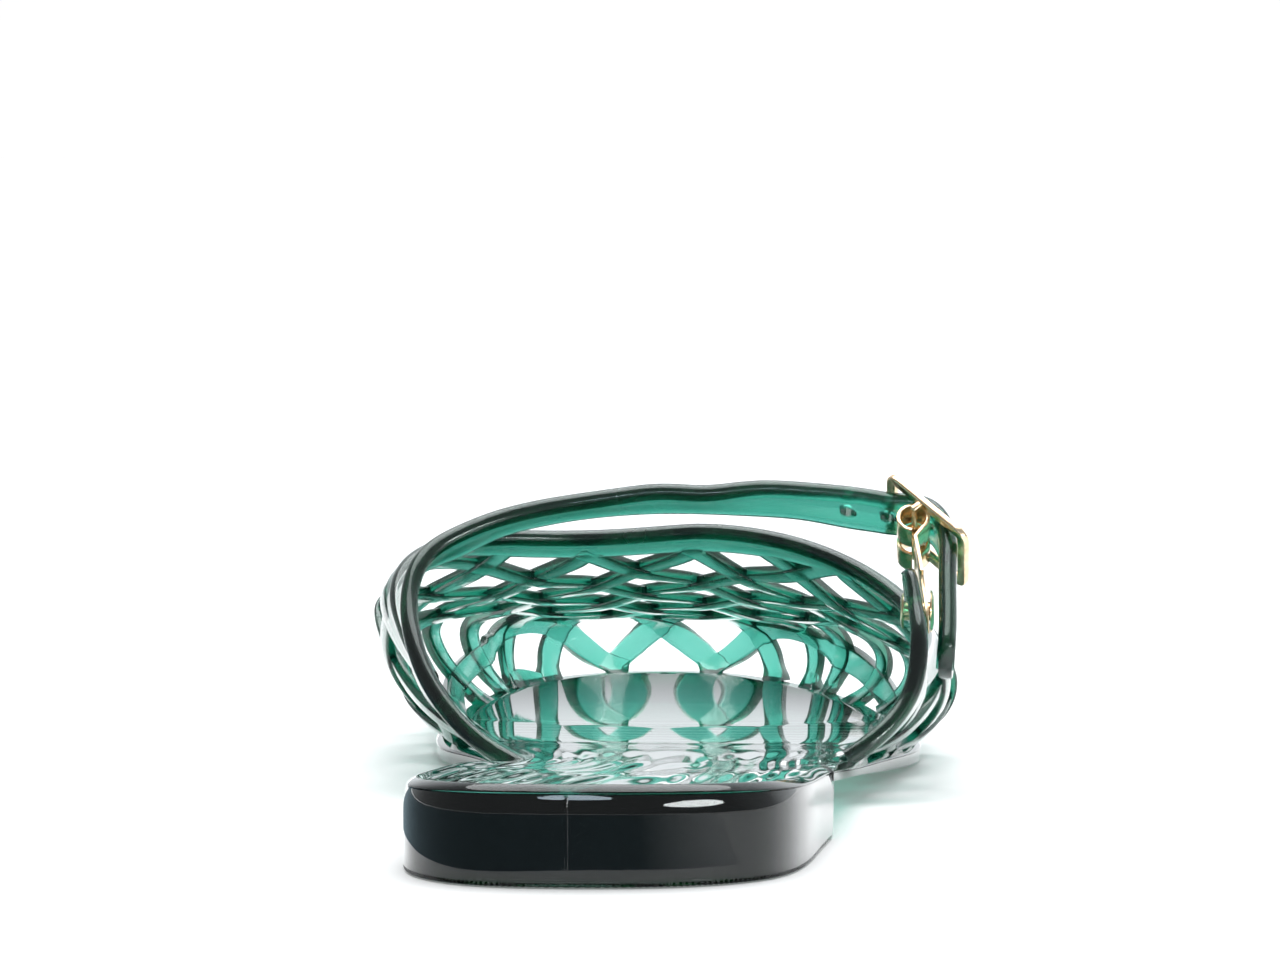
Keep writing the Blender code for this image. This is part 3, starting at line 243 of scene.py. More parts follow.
CREASE_IN, CREASE_OUT, CREASE_HIGH = 0.15, -0.05, 0.12  # crease between shoulder and lip
LIP_START, LIP_WIDE, LIP_POWER = -0.08, 1.5, 1.6  # sloping lip round the footbed
LIP_TURN = np.radians(np.linspace(15.0, 90.0, 9))
TOOTH_STATIONS, TOOTH_DEPTH = 2, 0.4  # notches along the edge of the heel tread
TOOTH_HIGH, TOOTH_STEP = 0.62, 0.06
RIB_PITCH, RIB_DEPTH, RIB_MARGIN, RIB_SLOPE = 4.2, 0.4, 3.0, (0.35, 0.65)  # ribs of the tread
RIPPLE, RIPPLE_COUNT, RIPPLE_SWIRL, RIPPLE_HEART = 0.1, 8.0, 60.0, 0.04
RIPPLE_RUN = (70.0, 118.0)
RIPPLE_WAVES = ((16.0, 90.0, 0.4, 0.5), (-24.0, 50.0, 2.1, 0.6))  # wavelengths, phase, share
HOLLOW, HOLLOW_RUN, HOLLOW_BOW = 2.2, (154.0, 212.0), 0.006  # steepness, y and bow of the toe hollow
KNUCKLE_SWELL, KNUCKLE_TURN = 0.4, (-50.0, 266.0)
RIDGE = (0.3, 0.18)  # half width and height of the parting line
RIDGE_FROM, RIDGE_MARGIN = 0.6, 0.3
BAR_CORNER, LUG_WIDE, LUG_BEVEL = 0.35, 1.1, 0.25  # buckle frame; a lug's half width counts in bar radii
CLIP_MARGIN, CLIP_BEVEL = 2.0, 0.12
PRONG_CORNER = 0.2

# Materials, studio and camera, in metres
PLASTIC_IOR = 1.5
PLASTIC_SKIN = (0.95, 1.0, 0.985)
PLASTIC_GRAIN = 60.0
JELLY_COLOUR = (0.2, 0.745, 0.663)
JELLY_DENSITY = 1180.0
COAT_ROUGHNESS = 0.03
UPPER_FINISH = ((60.0, 0.15, 0.0008), (0.2, 0.28), 1.35, (0.8, 1.0, 0.97))  # relief, roughness, coat, tint
SOLE_FINISH = ((20.0, 0.01, 0.0005), (0.02, 0.05), 1.15, (0.95, 1.0, 1.0))
GOLD_ROUGHNESS = (700.0, 0.14, 0.26)  # scale of the noise, least and most
GOLD_RELIEF = (900.0, 0.08, 0.0002)
GOLD_GRAIN = 500.0
GOLD_COLOURS = ((0.35, (0.85, 0.62, 0.38)), (0.65, (0.97, 0.79, 0.55)))
NOISE_RANGE = (0.3, 0.7)
ROUGHNESS_DETAIL, RELIEF_DETAIL, GRAIN_DETAIL = 4.0, 2.0, 3.0
WHITE, PALE, BLACK = (1.0, 1.0, 1.0, 1.0), (0.9, 0.9, 0.9, 1.0), (0.0, 0.0, 0.0, 1.0)
FLOOR_REACH, FLOOR_DROP, FLOOR_SPECULAR = 8.0, -0.0002, 0.2
FLOOR_ROUGHNESS = (8.0, 0.45, 0.6)
FLOOR_GLOW = (0.35, 1.8, 0.16, 0.66)  # near and far distance, glow there
CARD_ROUGHNESS = (4.0, 0.8, 1.0)
BACKDROP_RADIUS = 7.0
BACKDROP_RISE = np.radians(np.linspace(-2.0, 89.0, 19))
ROOM_BRIGHT = (0.3, 0.75, 0.59)  # direction of the bright side of the room
ROOM_LIGHT = (  # cosine to that direction, light from there
    (-0.2, 0.3), (0.12, 0.3), (0.3, 0.4), (0.6, 0.5), (0.73, 0.95), (0.87, 1.1), (0.96, 1.25),
)
ROOM_TINT = (0.95, 1.0, 1.03)
# Painted dark reflection: a card on the floor behind the heel that only reflections see, dark behind and to
# -x, lighter toward +x
REFLECTION_CARD_REACH = (0.05, 1.2)  # near and far edge
REFLECTION_CARD_TURN = np.radians(np.linspace(120.0, 325.0, 40))
REFLECTION_CARD_SHADES = ((0.25, (0.1, 0.15, 0.175)), (0.8, (0.85, 0.87, 0.88)))
LAMPS = (  # name, place, what it faces, size, power, colour, whether it lights the floor
    ("softbox above", (0.0, 0.25, 1.3), (0.0, 0.1, 0.0), (1.6, 1.4), 19.0, (1.0, 1.0, 1.0), True),
    ("window", (1.39, -1.39, 0.36), (0.0, 0.0, 0.01), (1.3, 0.24), 12.0, (1.0, 1.0, 1.0), False),
    ("far window", (-0.07, -1.9, 0.62), (0.0, 0.0, 0.01), (0.6, 0.16), 2.0, (0.75, 0.88, 1.0), False),
)
CAMERA_PLACE = (0.05055, -0.8786, 0.1175)
CAMERA_HEADING = (-0.0522, 0.9962, -0.0689)
CAMERA_LENS, CAMERA_SENSOR, CAMERA_CLIP = 167.3, 36.0, 0.01


def curve(table, at):
    """Columns of a table as natural cubics of its first column."""
    rows = np.asarray(table, float)
    t, values = rows[:, 0], rows[:, 1:]
    count = len(t)
    step = np.diff(t)
    rise = np.diff(values, axis=0) / step[:, None]
    system = np.eye(count)
    right = np.zeros_like(values)
    for k in range(1, count - 1):
        system[k, k - 1 : k + 2] = step[k - 1], 2 * (step[k - 1] + step[k]), step[k]
        right[k] = 6 * (rise[k] - rise[k - 1])
    bend = np.linalg.solve(system, right)
    at = np.asarray(at, float)
    k = np.clip(np.searchsorted(t, at) - 1, 0, count - 2)
    a = ((t[k + 1] - at) / step[k])[..., None]
    b = 1 - a
    square = (step[k] ** 2 / 6)[..., None]
    found = a * values[k] + b * values[k + 1] + square * ((a**3 - a) * bend[k] + (b**3 - b) * bend[k + 1])
    return found[..., 0] if values.shape[1] == 1 else found


def unit(vectors):
    return vectors / np.linalg.norm(vectors, axis=-1, keepdims=True)


def circle(sides):
    return np.linspace(0.0, 2 * math.pi, sides, endpoint=False)


def chord_table(points):
    """Points with the distance walked along them as the first column."""
    points = np.asarray(points, float)
    walked = np.concatenate([[0.0], np.cumsum(np.linalg.norm(np.diff(points, axis=0), axis=1))])
    return np.column_stack([walked, points])


def walk(points, share):
    """Point at a share of the length of a fine polyline."""
    table = chord_table(points)
    at = np.asarray(share) * table[-1, 0]
    return np.column_stack([np.interp(at, table[:, 0], column) for column in table.T[1:]])


def sole_loop():
    """Fine closed outline of the sole, from the heel by the lateral side to the toe and back."""
    plan = np.array(SOLE_PLAN)
    lateral = [tuple(p) for p in plan[:, [2, 0]]]
    medial = [tuple(p) for p in plan[::-1, [1, 0]]]
    points = [HEEL_BACK] + lateral + [TOE_TIP] + medial
    overlap = 4
    looped = points[-overlap:] + points + points[:overlap + 1]
    table = chord_table(looped)
    start, end = table[overlap, 0], table[overlap + len(points), 0]
    return curve(table, np.linspace(start, end, OUTLINE_STEPS))


OUTLINE = sole_loop()
TOE_INDEX = int(np.argmax(OUTLINE[:, 1]))
SECTIONS = {"medial": MEDIAL_SECTION, "lateral": LATERAL_SECTION}
EDGE = {"lateral": OUTLINE[: TOE_INDEX + 1], "medial": OUTLINE[TOE_INDEX:][::-1]}


def edge_height(y):
    return curve(EDGE_HEIGHT, y)


def section_rows(side):
    """Every number of the last's sections on one side, in fine steps from the waist to the toe."""
    share = np.linspace(0.0, 1.0, SECTION_STEPS)
    edge = EDGE[side]
    edge = edge[np.argmax(edge[:, 1] > SECTION_START_Y) :]
    foot = walk(edge, share)
    spine_y = curve(SPINE_REACH, share)
    spine = curve(SPINE, spine_y)
    centre = np.column_stack([spine[:, 0], spine_y])
    inset, bulge, widest, fullness = curve(SECTIONS[side], share).T
    reach = np.linalg.norm(foot - centre, axis=1)
    out = (foot - centre) / reach[:, None]
    radius = reach - inset
    floor = edge_height(foot[:, 1]) + LANDING_GAP
    rise = spine[:, 1] - floor
    half = radius + bulge
    start = np.arccos(radius / half)
    slope = (curve(SPINE, spine_y + 0.5) - curve(SPINE, spine_y - 0.5))[:, 1] * out[:, 1]
    return {
        "centre": centre,
        "out": out,
        "half": half,
        "start": start,
        "middle": floor + widest * rise,
        "above": (1 - widest) * rise,
        "below": widest * rise / np.sin(start),
        "power": 2 / fullness,
        "slope": slope,
    }


UP_SHARES = np.linspace(-0.2, 1.0, 121)


def on_section(n, up):
    """Distance from the spine and height at a share of the way up a section."""
    angle = -n["start"] + (math.pi / 2 + n["start"]) * up
    c, s = np.cos(angle), np.sin(angle)
    high = angle > 0
    across = np.where(high, n["half"] * np.abs(c) ** n["power"], n["half"] * c)
    z = np.where(high, n["middle"] + n["above"] * np.abs(s) ** n["power"], n["middle"] + n["below"] * s)
    lean = n["slope"] * across * (1 - (np.minimum(across, n["half"]) / n["half"]) ** 2)
    return across, np.where(high, z + lean, z)


def last_side(side):
    """Section numbers of one side with the length from the spine at each share of the way up."""
    n = section_rows(side)
    columns = {key: value[:, None] for key, value in n.items() if value.ndim == 1}
    across, z = on_section(columns, UP_SHARES[None, :])
    piece = np.hypot(np.diff(across, axis=1), np.diff(z, axis=1))
    length = np.zeros_like(across)
    length[:, :-1] = np.cumsum(piece[:, ::-1], axis=1)[:, ::-1]
    n["length"] = length
    n["landing"] = np.array([np.interp(0.0, UP_SHARES, row) for row in length])
    return n


LAST = {side: last_side(side) for side in SECTIONS}


def locate(flat, side):
    """Section numbers and share of the way up for points of the flattened upper on one side."""
    n = LAST[side]
    sign = 1.0 if side == "lateral" else -1.0
    d = flat[:, None, :] - n["centre"][None, :, :]
    turn = sign * (n["out"][None, :, 0] * d[:, :, 1] - n["out"][None, :, 1] * d[:, :, 0])
    rows = turn.shape[1]
    passed = turn <= 0
    k = np.where(passed.any(axis=1), np.argmax(passed, axis=1), rows - 1)
    k = np.clip(k, 1, rows - 1)
    pick = np.arange(len(flat))
    before, after = turn[pick, k - 1], turn[pick, k]
    part = np.clip(before / np.where(before == after, 1.0, before - after), 0.0, 1.0)

    def mix(values):
        w = part if values.ndim == 1 else part[:, None]
        return values[k - 1] * (1 - w) + values[k] * w

    found = {key: mix(values) for key, values in n.items()}
    along = np.linalg.norm(flat - found["centre"], axis=1)
    up = np.array([np.interp(-r, -row, UP_SHARES) for r, row in zip(along, found["length"])])
    found["depth"] = found["landing"] - along
    return found, up


def is_lateral(flat):
    first_y, last_y = SPINE[0][0], SPINE_REACH[-1][1]
    spine_x = curve(SPINE, np.clip(flat[:, 1], first_y, last_y))[:, 0]
    past = np.clip(flat[:, 1] - last_y, 0.0, None)
    heading = LAST["lateral"]["out"][-1]
    return flat[:, 0] > spine_x + past * heading[0] / heading[1]


def on_last(flat):
    """Points of the inside of the upper, and how far each is above its landing, for flattened points."""
    points = np.zeros((len(flat), 3))
    depth = np.zeros(len(flat))
    right = is_lateral(flat)
    for side, chosen in (("lateral", right), ("medial", ~right)):
        if not chosen.any():
            continue
        n, up = locate(flat[chosen], side)
        across, z = on_section(n, up)
        points[chosen, :2] = n["centre"] + n["out"] * across[:, None]
        points[chosen, 2] = z
        depth[chosen] = n["depth"]
    return points, depth


def outward(flat, depth):
    """Direction out of the wall at flattened points, level where the wall lands so that it is cut flat."""
    moves = 0.2 * np.eye(2)
    to_x, to_y = (on_last(flat + move)[0] - on_last(flat - move)[0] for move in moves)
    normal = unit(np.cross(to_x, to_y))
    level = normal * [1.0, 1.0, 0.0]
    level /= np.maximum((level**2).sum(axis=1), LEAST_LEVEL)[:, None]
    blend = np.clip(depth / CUT_BLEND, 0.0, 1.0)[:, None]
    return level * (1 - blend) + normal * blend


def weave_flat(alpha, beta):
    """Flattened place of a point of the weave, counted in strips of the two families."""
    across, along = alpha - beta, alpha + beta
    toe = np.clip(-along, 0.0, 1.0)
    dip = TOE_DIP * across**2 / (1 + DIP_EASE * across**2) * np.clip(1 - DIP_FADE * along, 0.0, 1.0)
    bend = WEAVE_BEND * across**2 / (1 + BEND_EASE * across**2) * (1 - along / BEND_FADE)
    spread = 1 + TOE_SPREAD * toe / (1 + SPREAD_EASE * across**2)
    x = WEAVE_CENTRE[0] + WEAVE_HALF_WIDTH * across * spread
    y = WEAVE_CENTRE[1] - WEAVE_HALF_LENGTH * (along + TOE_PULL * toe) + bend - dip
    return np.stack([x, y], axis=-1)


def rim_depth(flat):
    """Distance of flattened points in front of the line along the collar and the two bands."""
    a, b = RIM_LINE[:-1], RIM_LINE[1:]
    d = b - a
    t = np.clip(((flat[:, None] - a) * d).sum(axis=2) / (d**2).sum(axis=1), 0.0, 1.0)
    gap = flat[:, None] - (a + t[..., None] * d)
    distance = np.linalg.norm(gap, axis=2)
    k = distance.argmin(axis=1)
    pick = np.arange(len(flat))
    side = d[k, 0] * gap[pick, k, 1] - d[k, 1] * gap[pick, k, 0]
    return np.where(side > 0, 1.0, -1.0) * distance[pick, k]


def loft(rings, closed=False):
    """Vertices and faces of rings joined in turn, capped unless the row of rings closes on itself."""
    rings = np.asarray(rings)
    count, size = rings.shape[:2]
    faces = []
    for k in range(count if closed else count - 1):
        n = (k + 1) % count
        for i in range(size):
            j = (i + 1) % size
            faces.append((k * size + i, k * size + j, n * size + j, n * size + i))
    if not closed:
        faces.append(list(range(size))[::-1])
        faces.append([(count - 1) * size + i for i in range(size)])
    return rings.reshape(-1, 3), faces


def flat_edges(rows, width, count, left):
    """Rear and front flattened edges of a band, from a table of its rear edge."""
    rear = resample(rows, count)
    along = unit(np.gradient(rear, axis=0))
    turn = np.column_stack([-along[:, 1], along[:, 0]]) * (1.0 if left else -1.0)
    return rear, rear + width * turn


LEAN = math.radians(STRAP_LEAN)
STRAP_W = np.array((0.0, math.cos(LEAN), -math.sin(LEAN)))
STRAP_T = np.array((0.0, math.sin(LEAN), math.cos(LEAN)))
STRAP_X = np.array((1.0, 0.0, 0.0))


def in_strap_plane(x, t, a):
    """Point from its x, its height along the hanging strap and its place across the strap."""
    x, t, a = (np.asarray(v, float)[..., None] for v in (x, t, a))
    return x * STRAP_X + t * STRAP_T + a * STRAP_W


def resample(points, count):
    table = chord_table(points)
    return curve(table, np.linspace(0.0, table[-1, 0], count))


def side_x(side, y):
    edge = EDGE[side]
    return np.interp(y, edge[:, 1], edge[:, 0])


def ease(at, low, high):
    t = np.clip((at - low) / (high - low), 0.0, 1.0)
    return t * t * (3 - 2 * t)


def link_object(name, data):
    thing = bpy.data.objects.new(name, data)
    bpy.context.scene.collection.objects.link(thing)
    return thing


def mesh_object(name, vertices, faces):
    mesh = bpy.data.meshes.new(name)
    mesh.from_pydata(np.asarray(vertices).tolist(), [], faces)
    return link_object(name, mesh)


def new_object(name, vertices, faces):
    """Object from millimetres, with its faces turned outwards."""
    thing = mesh_object(name, MM * np.asarray(vertices), faces)
    work = bmesh.new()
    work.from_mesh(thing.data)
    bmesh.ops.recalc_face_normals(work, faces=work.faces)
    work.to_mesh(thing.data)
    work.free()
    return thing


def combine(thing, tools, operation):
    """Boolean of one object with several others, which are then removed."""
    for tool in tools:
        step = thing.modifiers.new(tool.name, "BOOLEAN")
        step.operation = operation
        step.object = tool
        step.solver = "MANIFOLD"
    settle(thing)
    for tool in tools:
        bpy.data.objects.remove(tool, do_unlink=True)


def settle(thing):
    """Mesh of an object with its modifiers applied."""
    graph = bpy.context.evaluated_depsgraph_get()
    mesh = bpy.data.meshes.new_from_object(thing.evaluated_get(graph))
    thing.modifiers.clear()
    old = thing.data
    thing.data = mesh
    bpy.data.meshes.remove(old)


def bevel(thing, width, segments=3, degrees=40.0):
    step = thing.modifiers.new("rounded edges", "BEVEL")
    step.width = width * MM
    step.segments = segments
    step.limit_method = "ANGLE"
    step.angle_limit = math.radians(degrees)
    settle(thing)


def rounded_corners(half_u, half_h, radius_u, radius_h, steps):
    """Ring of a rectangle with rounded corners, counted from its middle."""
    ring = []
    for sign_u, sign_h, first in ((1, 1, 0.0), (-1, 1, 90.0), (-1, -1, 180.0), (1, -1, 270.0)):
        for angle in np.radians(np.linspace(first, first + 90.0, steps + 1)):
            u = sign_u * (half_u - radius_u) + radius_u * math.cos(angle)
            h = sign_h * (half_h - radius_h) + radius_h * math.sin(angle)
            ring.append((u, h))
    return np.array(ring)


# Weave of the vamp

def strip_section():
    """Section of a strip: share of its half width, height above its middle."""
    thick = STRIP_THICK - 2 * STRIP_SKIN
    ring = rounded_corners(1.0, thick / 2, STRIP_CORNER / STRIP_HALF_WIDE, STRIP_CORNER, CORNER_STEPS)
    half = len(ring) // 2
    quarter = half // 2
    top, bottom = (0.0, thick / 2 + STRIP_CROWN), (0.0, -thick / 2 - STRIP_CROWN)
    return np.array([*ring[:quarter], top, *ring[quarter : half + quarter], bottom, *ring[half + quarter :]])


def pair_of(family, across, along):
    """The numbers in both families of places along a strip of one of them."""
    across = across + 0 * along
    return (across, along) if family == 0 else (along, across)


def depths(pair):
    """Distance in front of the line of the collar, and height above the landing."""
    flat = weave_flat(*pair)
    return rim_depth(flat), on_last(flat)[1]


def crossings():
    """Crossings of the two families that lie in front of the collar and above the sole."""
    pairs = np.array([(i, j) for i in STRIPS for j in STRIPS], float)
    rim, landing = depths(pairs.T)
    kept = (rim > CROSSING_IN_RIM) & (landing > CROSSING_IN_LANDING)
    return {tuple(p) for p in pairs[kept].astype(int).tolist()}


def strip_end(family, strip, k, way):
    """Where a strip ends past its last crossing, in the collar or in the sole."""
    along = k + way * np.linspace(STRIP_SHARE, 1.0, END_STEPS)
    rim, landing = depths(pair_of(family, strip, along))
    if rim[0] < COLLAR_FRONT - 1.0 or landing[0] < LANDING_SNAP:
        return along[0]
    gone = (rim < STRIP_END_RIM) | (landing < -WELD_DEPTH)
    return along[np.argmax(gone)] if gone.any() else along[-1]


def strip_runs(family, strip, held):
    """Stretches of one strip, each as fine places along it."""
    on = [k for k in STRIPS if pair_of(family, strip, k) in held]
    starts = [k for k in on if k - 1 not in on]
    ends = [k for k in on if k + 1 not in on]
    for first, last in zip(starts, ends):
        low, high = strip_end(family, strip, first, -1), strip_end(family, strip, last, 1)
        along = np.linspace(low, high, max(4, int((high - low) / STRIP_STEP)))
        landing = depths(pair_of(family, strip, along))[1]
        yield along[landing > -WELD_DEPTH]


def even_width(family, strip, along):
    """What brings a strip to the same width all along it."""
    step = 0.05
    moves = ((-step, 0.0), (step, 0.0), (0.0, -step), (0.0, step))
    pairs = [pair_of(family, strip + across, along + on) for across, on in moves]
    left, right, behind, ahead = (on_last(weave_flat(*pair))[0] for pair in pairs)
    across, run = (right - left) / (2 * step), unit(ahead - behind)
    across -= run * (across * run).sum(axis=1)[:, None]
    return np.clip(STRIP_WIDE / (2 * STRIP_SHARE * np.linalg.norm(across, axis=1)), *WIDTH_LIMITS)


def strip_mesh(family, strip, along):
    section = strip_section()
    fade = ease(np.minimum(along - along[0], along[-1] - along), 0.0, SWAY_FADE)
    sway = STRIP_SWAY * fade * np.cos(math.pi * (strip + along))
    middle = STRIP_MIDDLE + (sway if family == 1 else -sway)
    landing = depths(pair_of(family, strip, along))[1]
    wide = even_width(family, strip, along) * (1 + FOOT_SPREAD * (1 - ease(landing, *FOOT_RUN)))
    across = strip + STRIP_SHARE * wide[:, None] * section[None, :, 0]
    flat = weave_flat(*pair_of(family, across.ravel(), np.repeat(along, len(section))))
    base, depth = on_last(flat)
    height = (middle[:, None] + section[None, :, 1]).ravel()
    rings = base + outward(flat, depth) * height[:, None]
    return loft(rings.reshape(len(along), len(section), 3))


def weave_tools():
    held = crossings()
    for family in (0, 1):
        for strip in STRIPS:
            for along in strip_runs(family, strip, held):
                yield new_object("strip", *strip_mesh(family, strip, along))


# Bands, strap and collar

def band_profile(width):
    """Section of a band with a round bead along its rear edge: distance across, height out of the wall."""
    radius, corner = BEAD / 2, BAND_CORNER
    meet = math.asin(BAND_THICK / BEAD)
    turns = np.linspace(meet, 2 * math.pi - meet, BEAD_STEPS)
    bead = [(radius + radius * math.cos(a), BAND_THICK / 2 + radius * math.sin(a)) for a in turns]
    edge, high = width - corner, BAND_THICK - corner
    lower = [(edge + corner * math.sin(a), corner - corner * math.cos(a)) for a in QUARTER]
    upper = [(edge + corner * math.cos(a), high + corner * math.sin(a)) for a in QUARTER]
    between = np.linspace(BEAD, edge, BAND_STEPS)[1:-1]
    under = [(u, 0.0) for u in between]
    over = [(u, BAND_THICK) for u in between[::-1]]
    return np.array(bead + under + lower + upper + over)


def ribbon(rear, front, away, profile, thin=None):
    """Closed mesh swept along two edges; the profile counts from the rear edge and out of the wall."""
    thin = np.ones(len(rear)) if thin is None else thin
    level = BAND_THICK / 2
    width = np.linalg.norm(front - rear, axis=1)[:, None]
    across = (front - rear) / width
    normal = unit(np.cross(np.gradient((rear + front) / 2, axis=0), across) * away)
    reach = width / profile[:, 0].max()
    rings = []
    for k in range(len(rear)):
        height = level + (profile[:, 1:] - level) * thin[k]
        rings.append(rear[k] + profile[:, :1] * reach[k] * across[k] + height * normal[k])
    return loft(rings)


def even_run(rear, front, count):
    walked = chord_table((rear + front) / 2)[:, 0]
    at = np.linspace(0.0, walked[-1], count)
    return curve(np.column_stack([walked, rear]), at), curve(np.column_stack([walked, front]), at)


def round_tail(rear, front):
    """Edges drawn together at the last stations, so that the end is round."""
    middle = (rear + front) / 2
    left = chord_table(middle[::-1])[::-1, 0]
    share = np.clip(1 - left / TAIL_ROUND, 0.0, TAIL_CLOSE)
    keep = np.sqrt(1 - share**2)[:, None]
    return middle + (rear - middle) * keep, middle + (front - middle) * keep


def hung_edges(rows, count, left, run, place):
    """Rear and front edge of a band that lies on the last and then hangs in the plane of the buckle."""
    edges = zip(flat_edges(rows, STRAP_WIDTH, count, left), (place, place + STRAP_WIDTH))
    return [np.concatenate([on_last(flat)[0], in_strap_plane(*run.T, a)]) for flat, a in edges]


def strap_mesh():
    """Medial band, strap over the instep and tail behind the buckle, as one ribbon."""
    run = np.array(STRAP_RUN)
    run[-1, 1] += TAIL_TRIM
    rear, front = hung_edges(STRAP_REAR_FLAT, STRAP_FLAT_STATIONS, True, run, STRAP_A)
    x = rear[:, 0]
    rear[:, 2] -= STRAP_SINK * ease(x, *SINK_FROM) * (1 - ease(x, *SINK_TO))
    over = (x > STRAP_FRONT[0][0]) & (x < STRAP_FRONT[-1][0])
    bridge = over & (rear[:, 1] > STRAP_BRIDGE_Y)
    front[bridge] = np.column_stack([x[bridge], curve(STRAP_FRONT, x[bridge])])
    rear, front = round_tail(*even_run(rear, front, STRAP_STATIONS))
    return ribbon(rear, front, 1.0, band_profile(STRAP_WIDTH))


def lateral_band_mesh():
    """Lateral band, which ends in the tab behind the clip of the buckle."""
    rear, front = hung_edges(LATERAL_REAR_FLAT, LATERAL_FLAT_STATIONS, False, np.array(TAB_RUN), TAB_A)
    rear, front = even_run(rear, front, LATERAL_STATIONS)
    left = chord_table(rear[::-1])[::-1, 0]
    thin = 1 - TAB_THIN * (1 - ease(left, *TAB_THIN_RUN))
    return ribbon(*round_tail(rear, front), -1.0, band_profile(STRAP_WIDTH), thin)


def collar_mesh():
    bead, front = flat_edges(RIM_ROWS, COLLAR_FRONT, COLLAR_STATIONS, True)
    rear = bead - (front - bead) / COLLAR_FRONT * BEAD / 2
    return ribbon(on_last(rear)[0], on_last(front)[0], 1.0, band_profile(COLLAR_FRONT + BEAD / 2))


def upper():
    made = new_object("mule_upper", *collar_mesh())
    tools = [new_object("strap", *strap_mesh()), new_object("lateral band", *lateral_band_mesh())]
    combine(made, tools + list(weave_tools()), "UNION")
    middle_a, prong_a = STRAP_A + STRAP_WIDTH / 2, sum(PRONG_A) / 2
    bores = [rod(*(in_strap_plane(x, t, middle_a) for t in HOLE_HEIGHTS), HOLE_RADIUS) for x in FREE_HOLES]
    bores.append(rod(*(in_strap_plane(*end, prong_a) for end in PRONG_HOLE), HOLE_RADIUS))
    bores.append(rod(*(in_strap_plane(x, *RIVET_PLACE) for x in TAB_BORE), RIVET_HOLE))
    combine(made, [new_object("bore", *mesh) for mesh in bores], "DIFFERENCE")
    return made


# Sole

def sole_stations():
    """Rows of the sole from the heel to the toe, closer together at the two ends and the breast."""
    heel = HEEL_BACK[1] + HEEL_ROUND * (1 - np.cos(np.linspace(0.0, math.pi / 2, HEEL_STATIONS)))
    shank = np.linspace(heel[-1], BREAST_Y, SHANK_STATIONS)[1:]
    breast = np.linspace(BREAST_Y, BREAST_Y + BREAST_RUN, BREAST_STATIONS)[1:]
    fore = np.linspace(BREAST_Y + BREAST_RUN, TOE_ROUND_Y, FORE_STATIONS)[1:]
    turn = np.linspace(math.pi / 2, 0.0, TOE_STATIONS)
    toe = TOE_TIP[1] - (TOE_TIP[1] - TOE_ROUND_Y) * (1 - np.cos(turn))[1:]
    return np.concatenate([heel, shank, breast, fore, toe])


def tread_height(y):
    """Underside of the sole, with a steep rounded breast in front of the heel."""
    breast_end = BREAST_Y + BREAST_RUN
    past = np.maximum(y, breast_end)
    arch = ARCH_HEIGHT * (np.clip(FLAT_FROM - past, 0.0, None) / (FLAT_FROM - BREAST_Y)) ** ARCH_POWER
    spring = TOE_SPRING * (np.clip(past - FLAT_TO, 0.0, None) / (TOE_TIP[1] - FLAT_TO)) ** 2
    return (arch + spring) * ease(y, BREAST_Y, breast_end)


def teeth(y):
    """One where the edge of the heel tread is notched and nothing elsewhere."""
    notched = (np.arange(len(y)) // TOOTH_STATIONS) % 2
    return notched * (y < BREAST_Y - BREAST_RUN)


def shoulder(height):
    """How far the round upper part of the side leans in."""
    return SHOULDER_ROUND - np.sqrt(SHOULDER_ROUND**2 - height**2)


def sole_loops(top, bottom, heel_part, shelf, lip, notch):
    """Inset and height of each line round the sole, from the tread up to the edge of the footbed."""
    level = 0 * top
    cut = TOOTH_DEPTH * notch
    loops = [(level + TREAD_INSET, bottom)]
    for a in QUARTER:
        loops.append((SOLE_CORNER * (1 - math.sin(a)) + cut, bottom + SOLE_CORNER * (1 - math.cos(a))))
    low = bottom + TOOTH_HIGH + TOOTH_STEP
    loops.append((cut, bottom + TOOTH_HIGH))
    loops.append((level, low))
    crease = top - GROOVE_DEPTH
    tall = SHOULDER_HIGH * heel_part + SHOULDER_FORE * (1 - heel_part)
    tall = np.minimum(tall, SHOULDER_SHARE * (crease - low))
    high = crease - tall
    for share in np.linspace(0.0, 1.0, SIDE_STEPS)[1:]:
        loops.append((level, low * (1 - share) + high * share))
    for turn in np.linspace(0.0, SHOULDER_END, SHOULDER_STEPS)[1:]:
        loops.append((shoulder(tall * turn), high + tall * turn))
    deep = shoulder(tall)
    loops.append((deep + CREASE_IN, crease))
    loops.append((deep + CREASE_OUT, crease + CREASE_HIGH))
    for a in LIP_TURN:
        inset = deep + LIP_START + LIP_WIDE * (1 - math.cos(a) ** LIP_POWER)
        rise = (GROOVE_DEPTH - CREASE_HIGH) * math.sin(a) ** LIP_POWER
        loops.append((inset, crease + CREASE_HIGH + rise))
    start = deep + LIP_START + LIP_WIDE
    for share in np.linspace(0.0, 1.0, SHELF_STEPS)[1:]:
        loops.append((start + (shelf - start) * share, top - lip * ease(share, *SHELF_FALL)))
    return loops


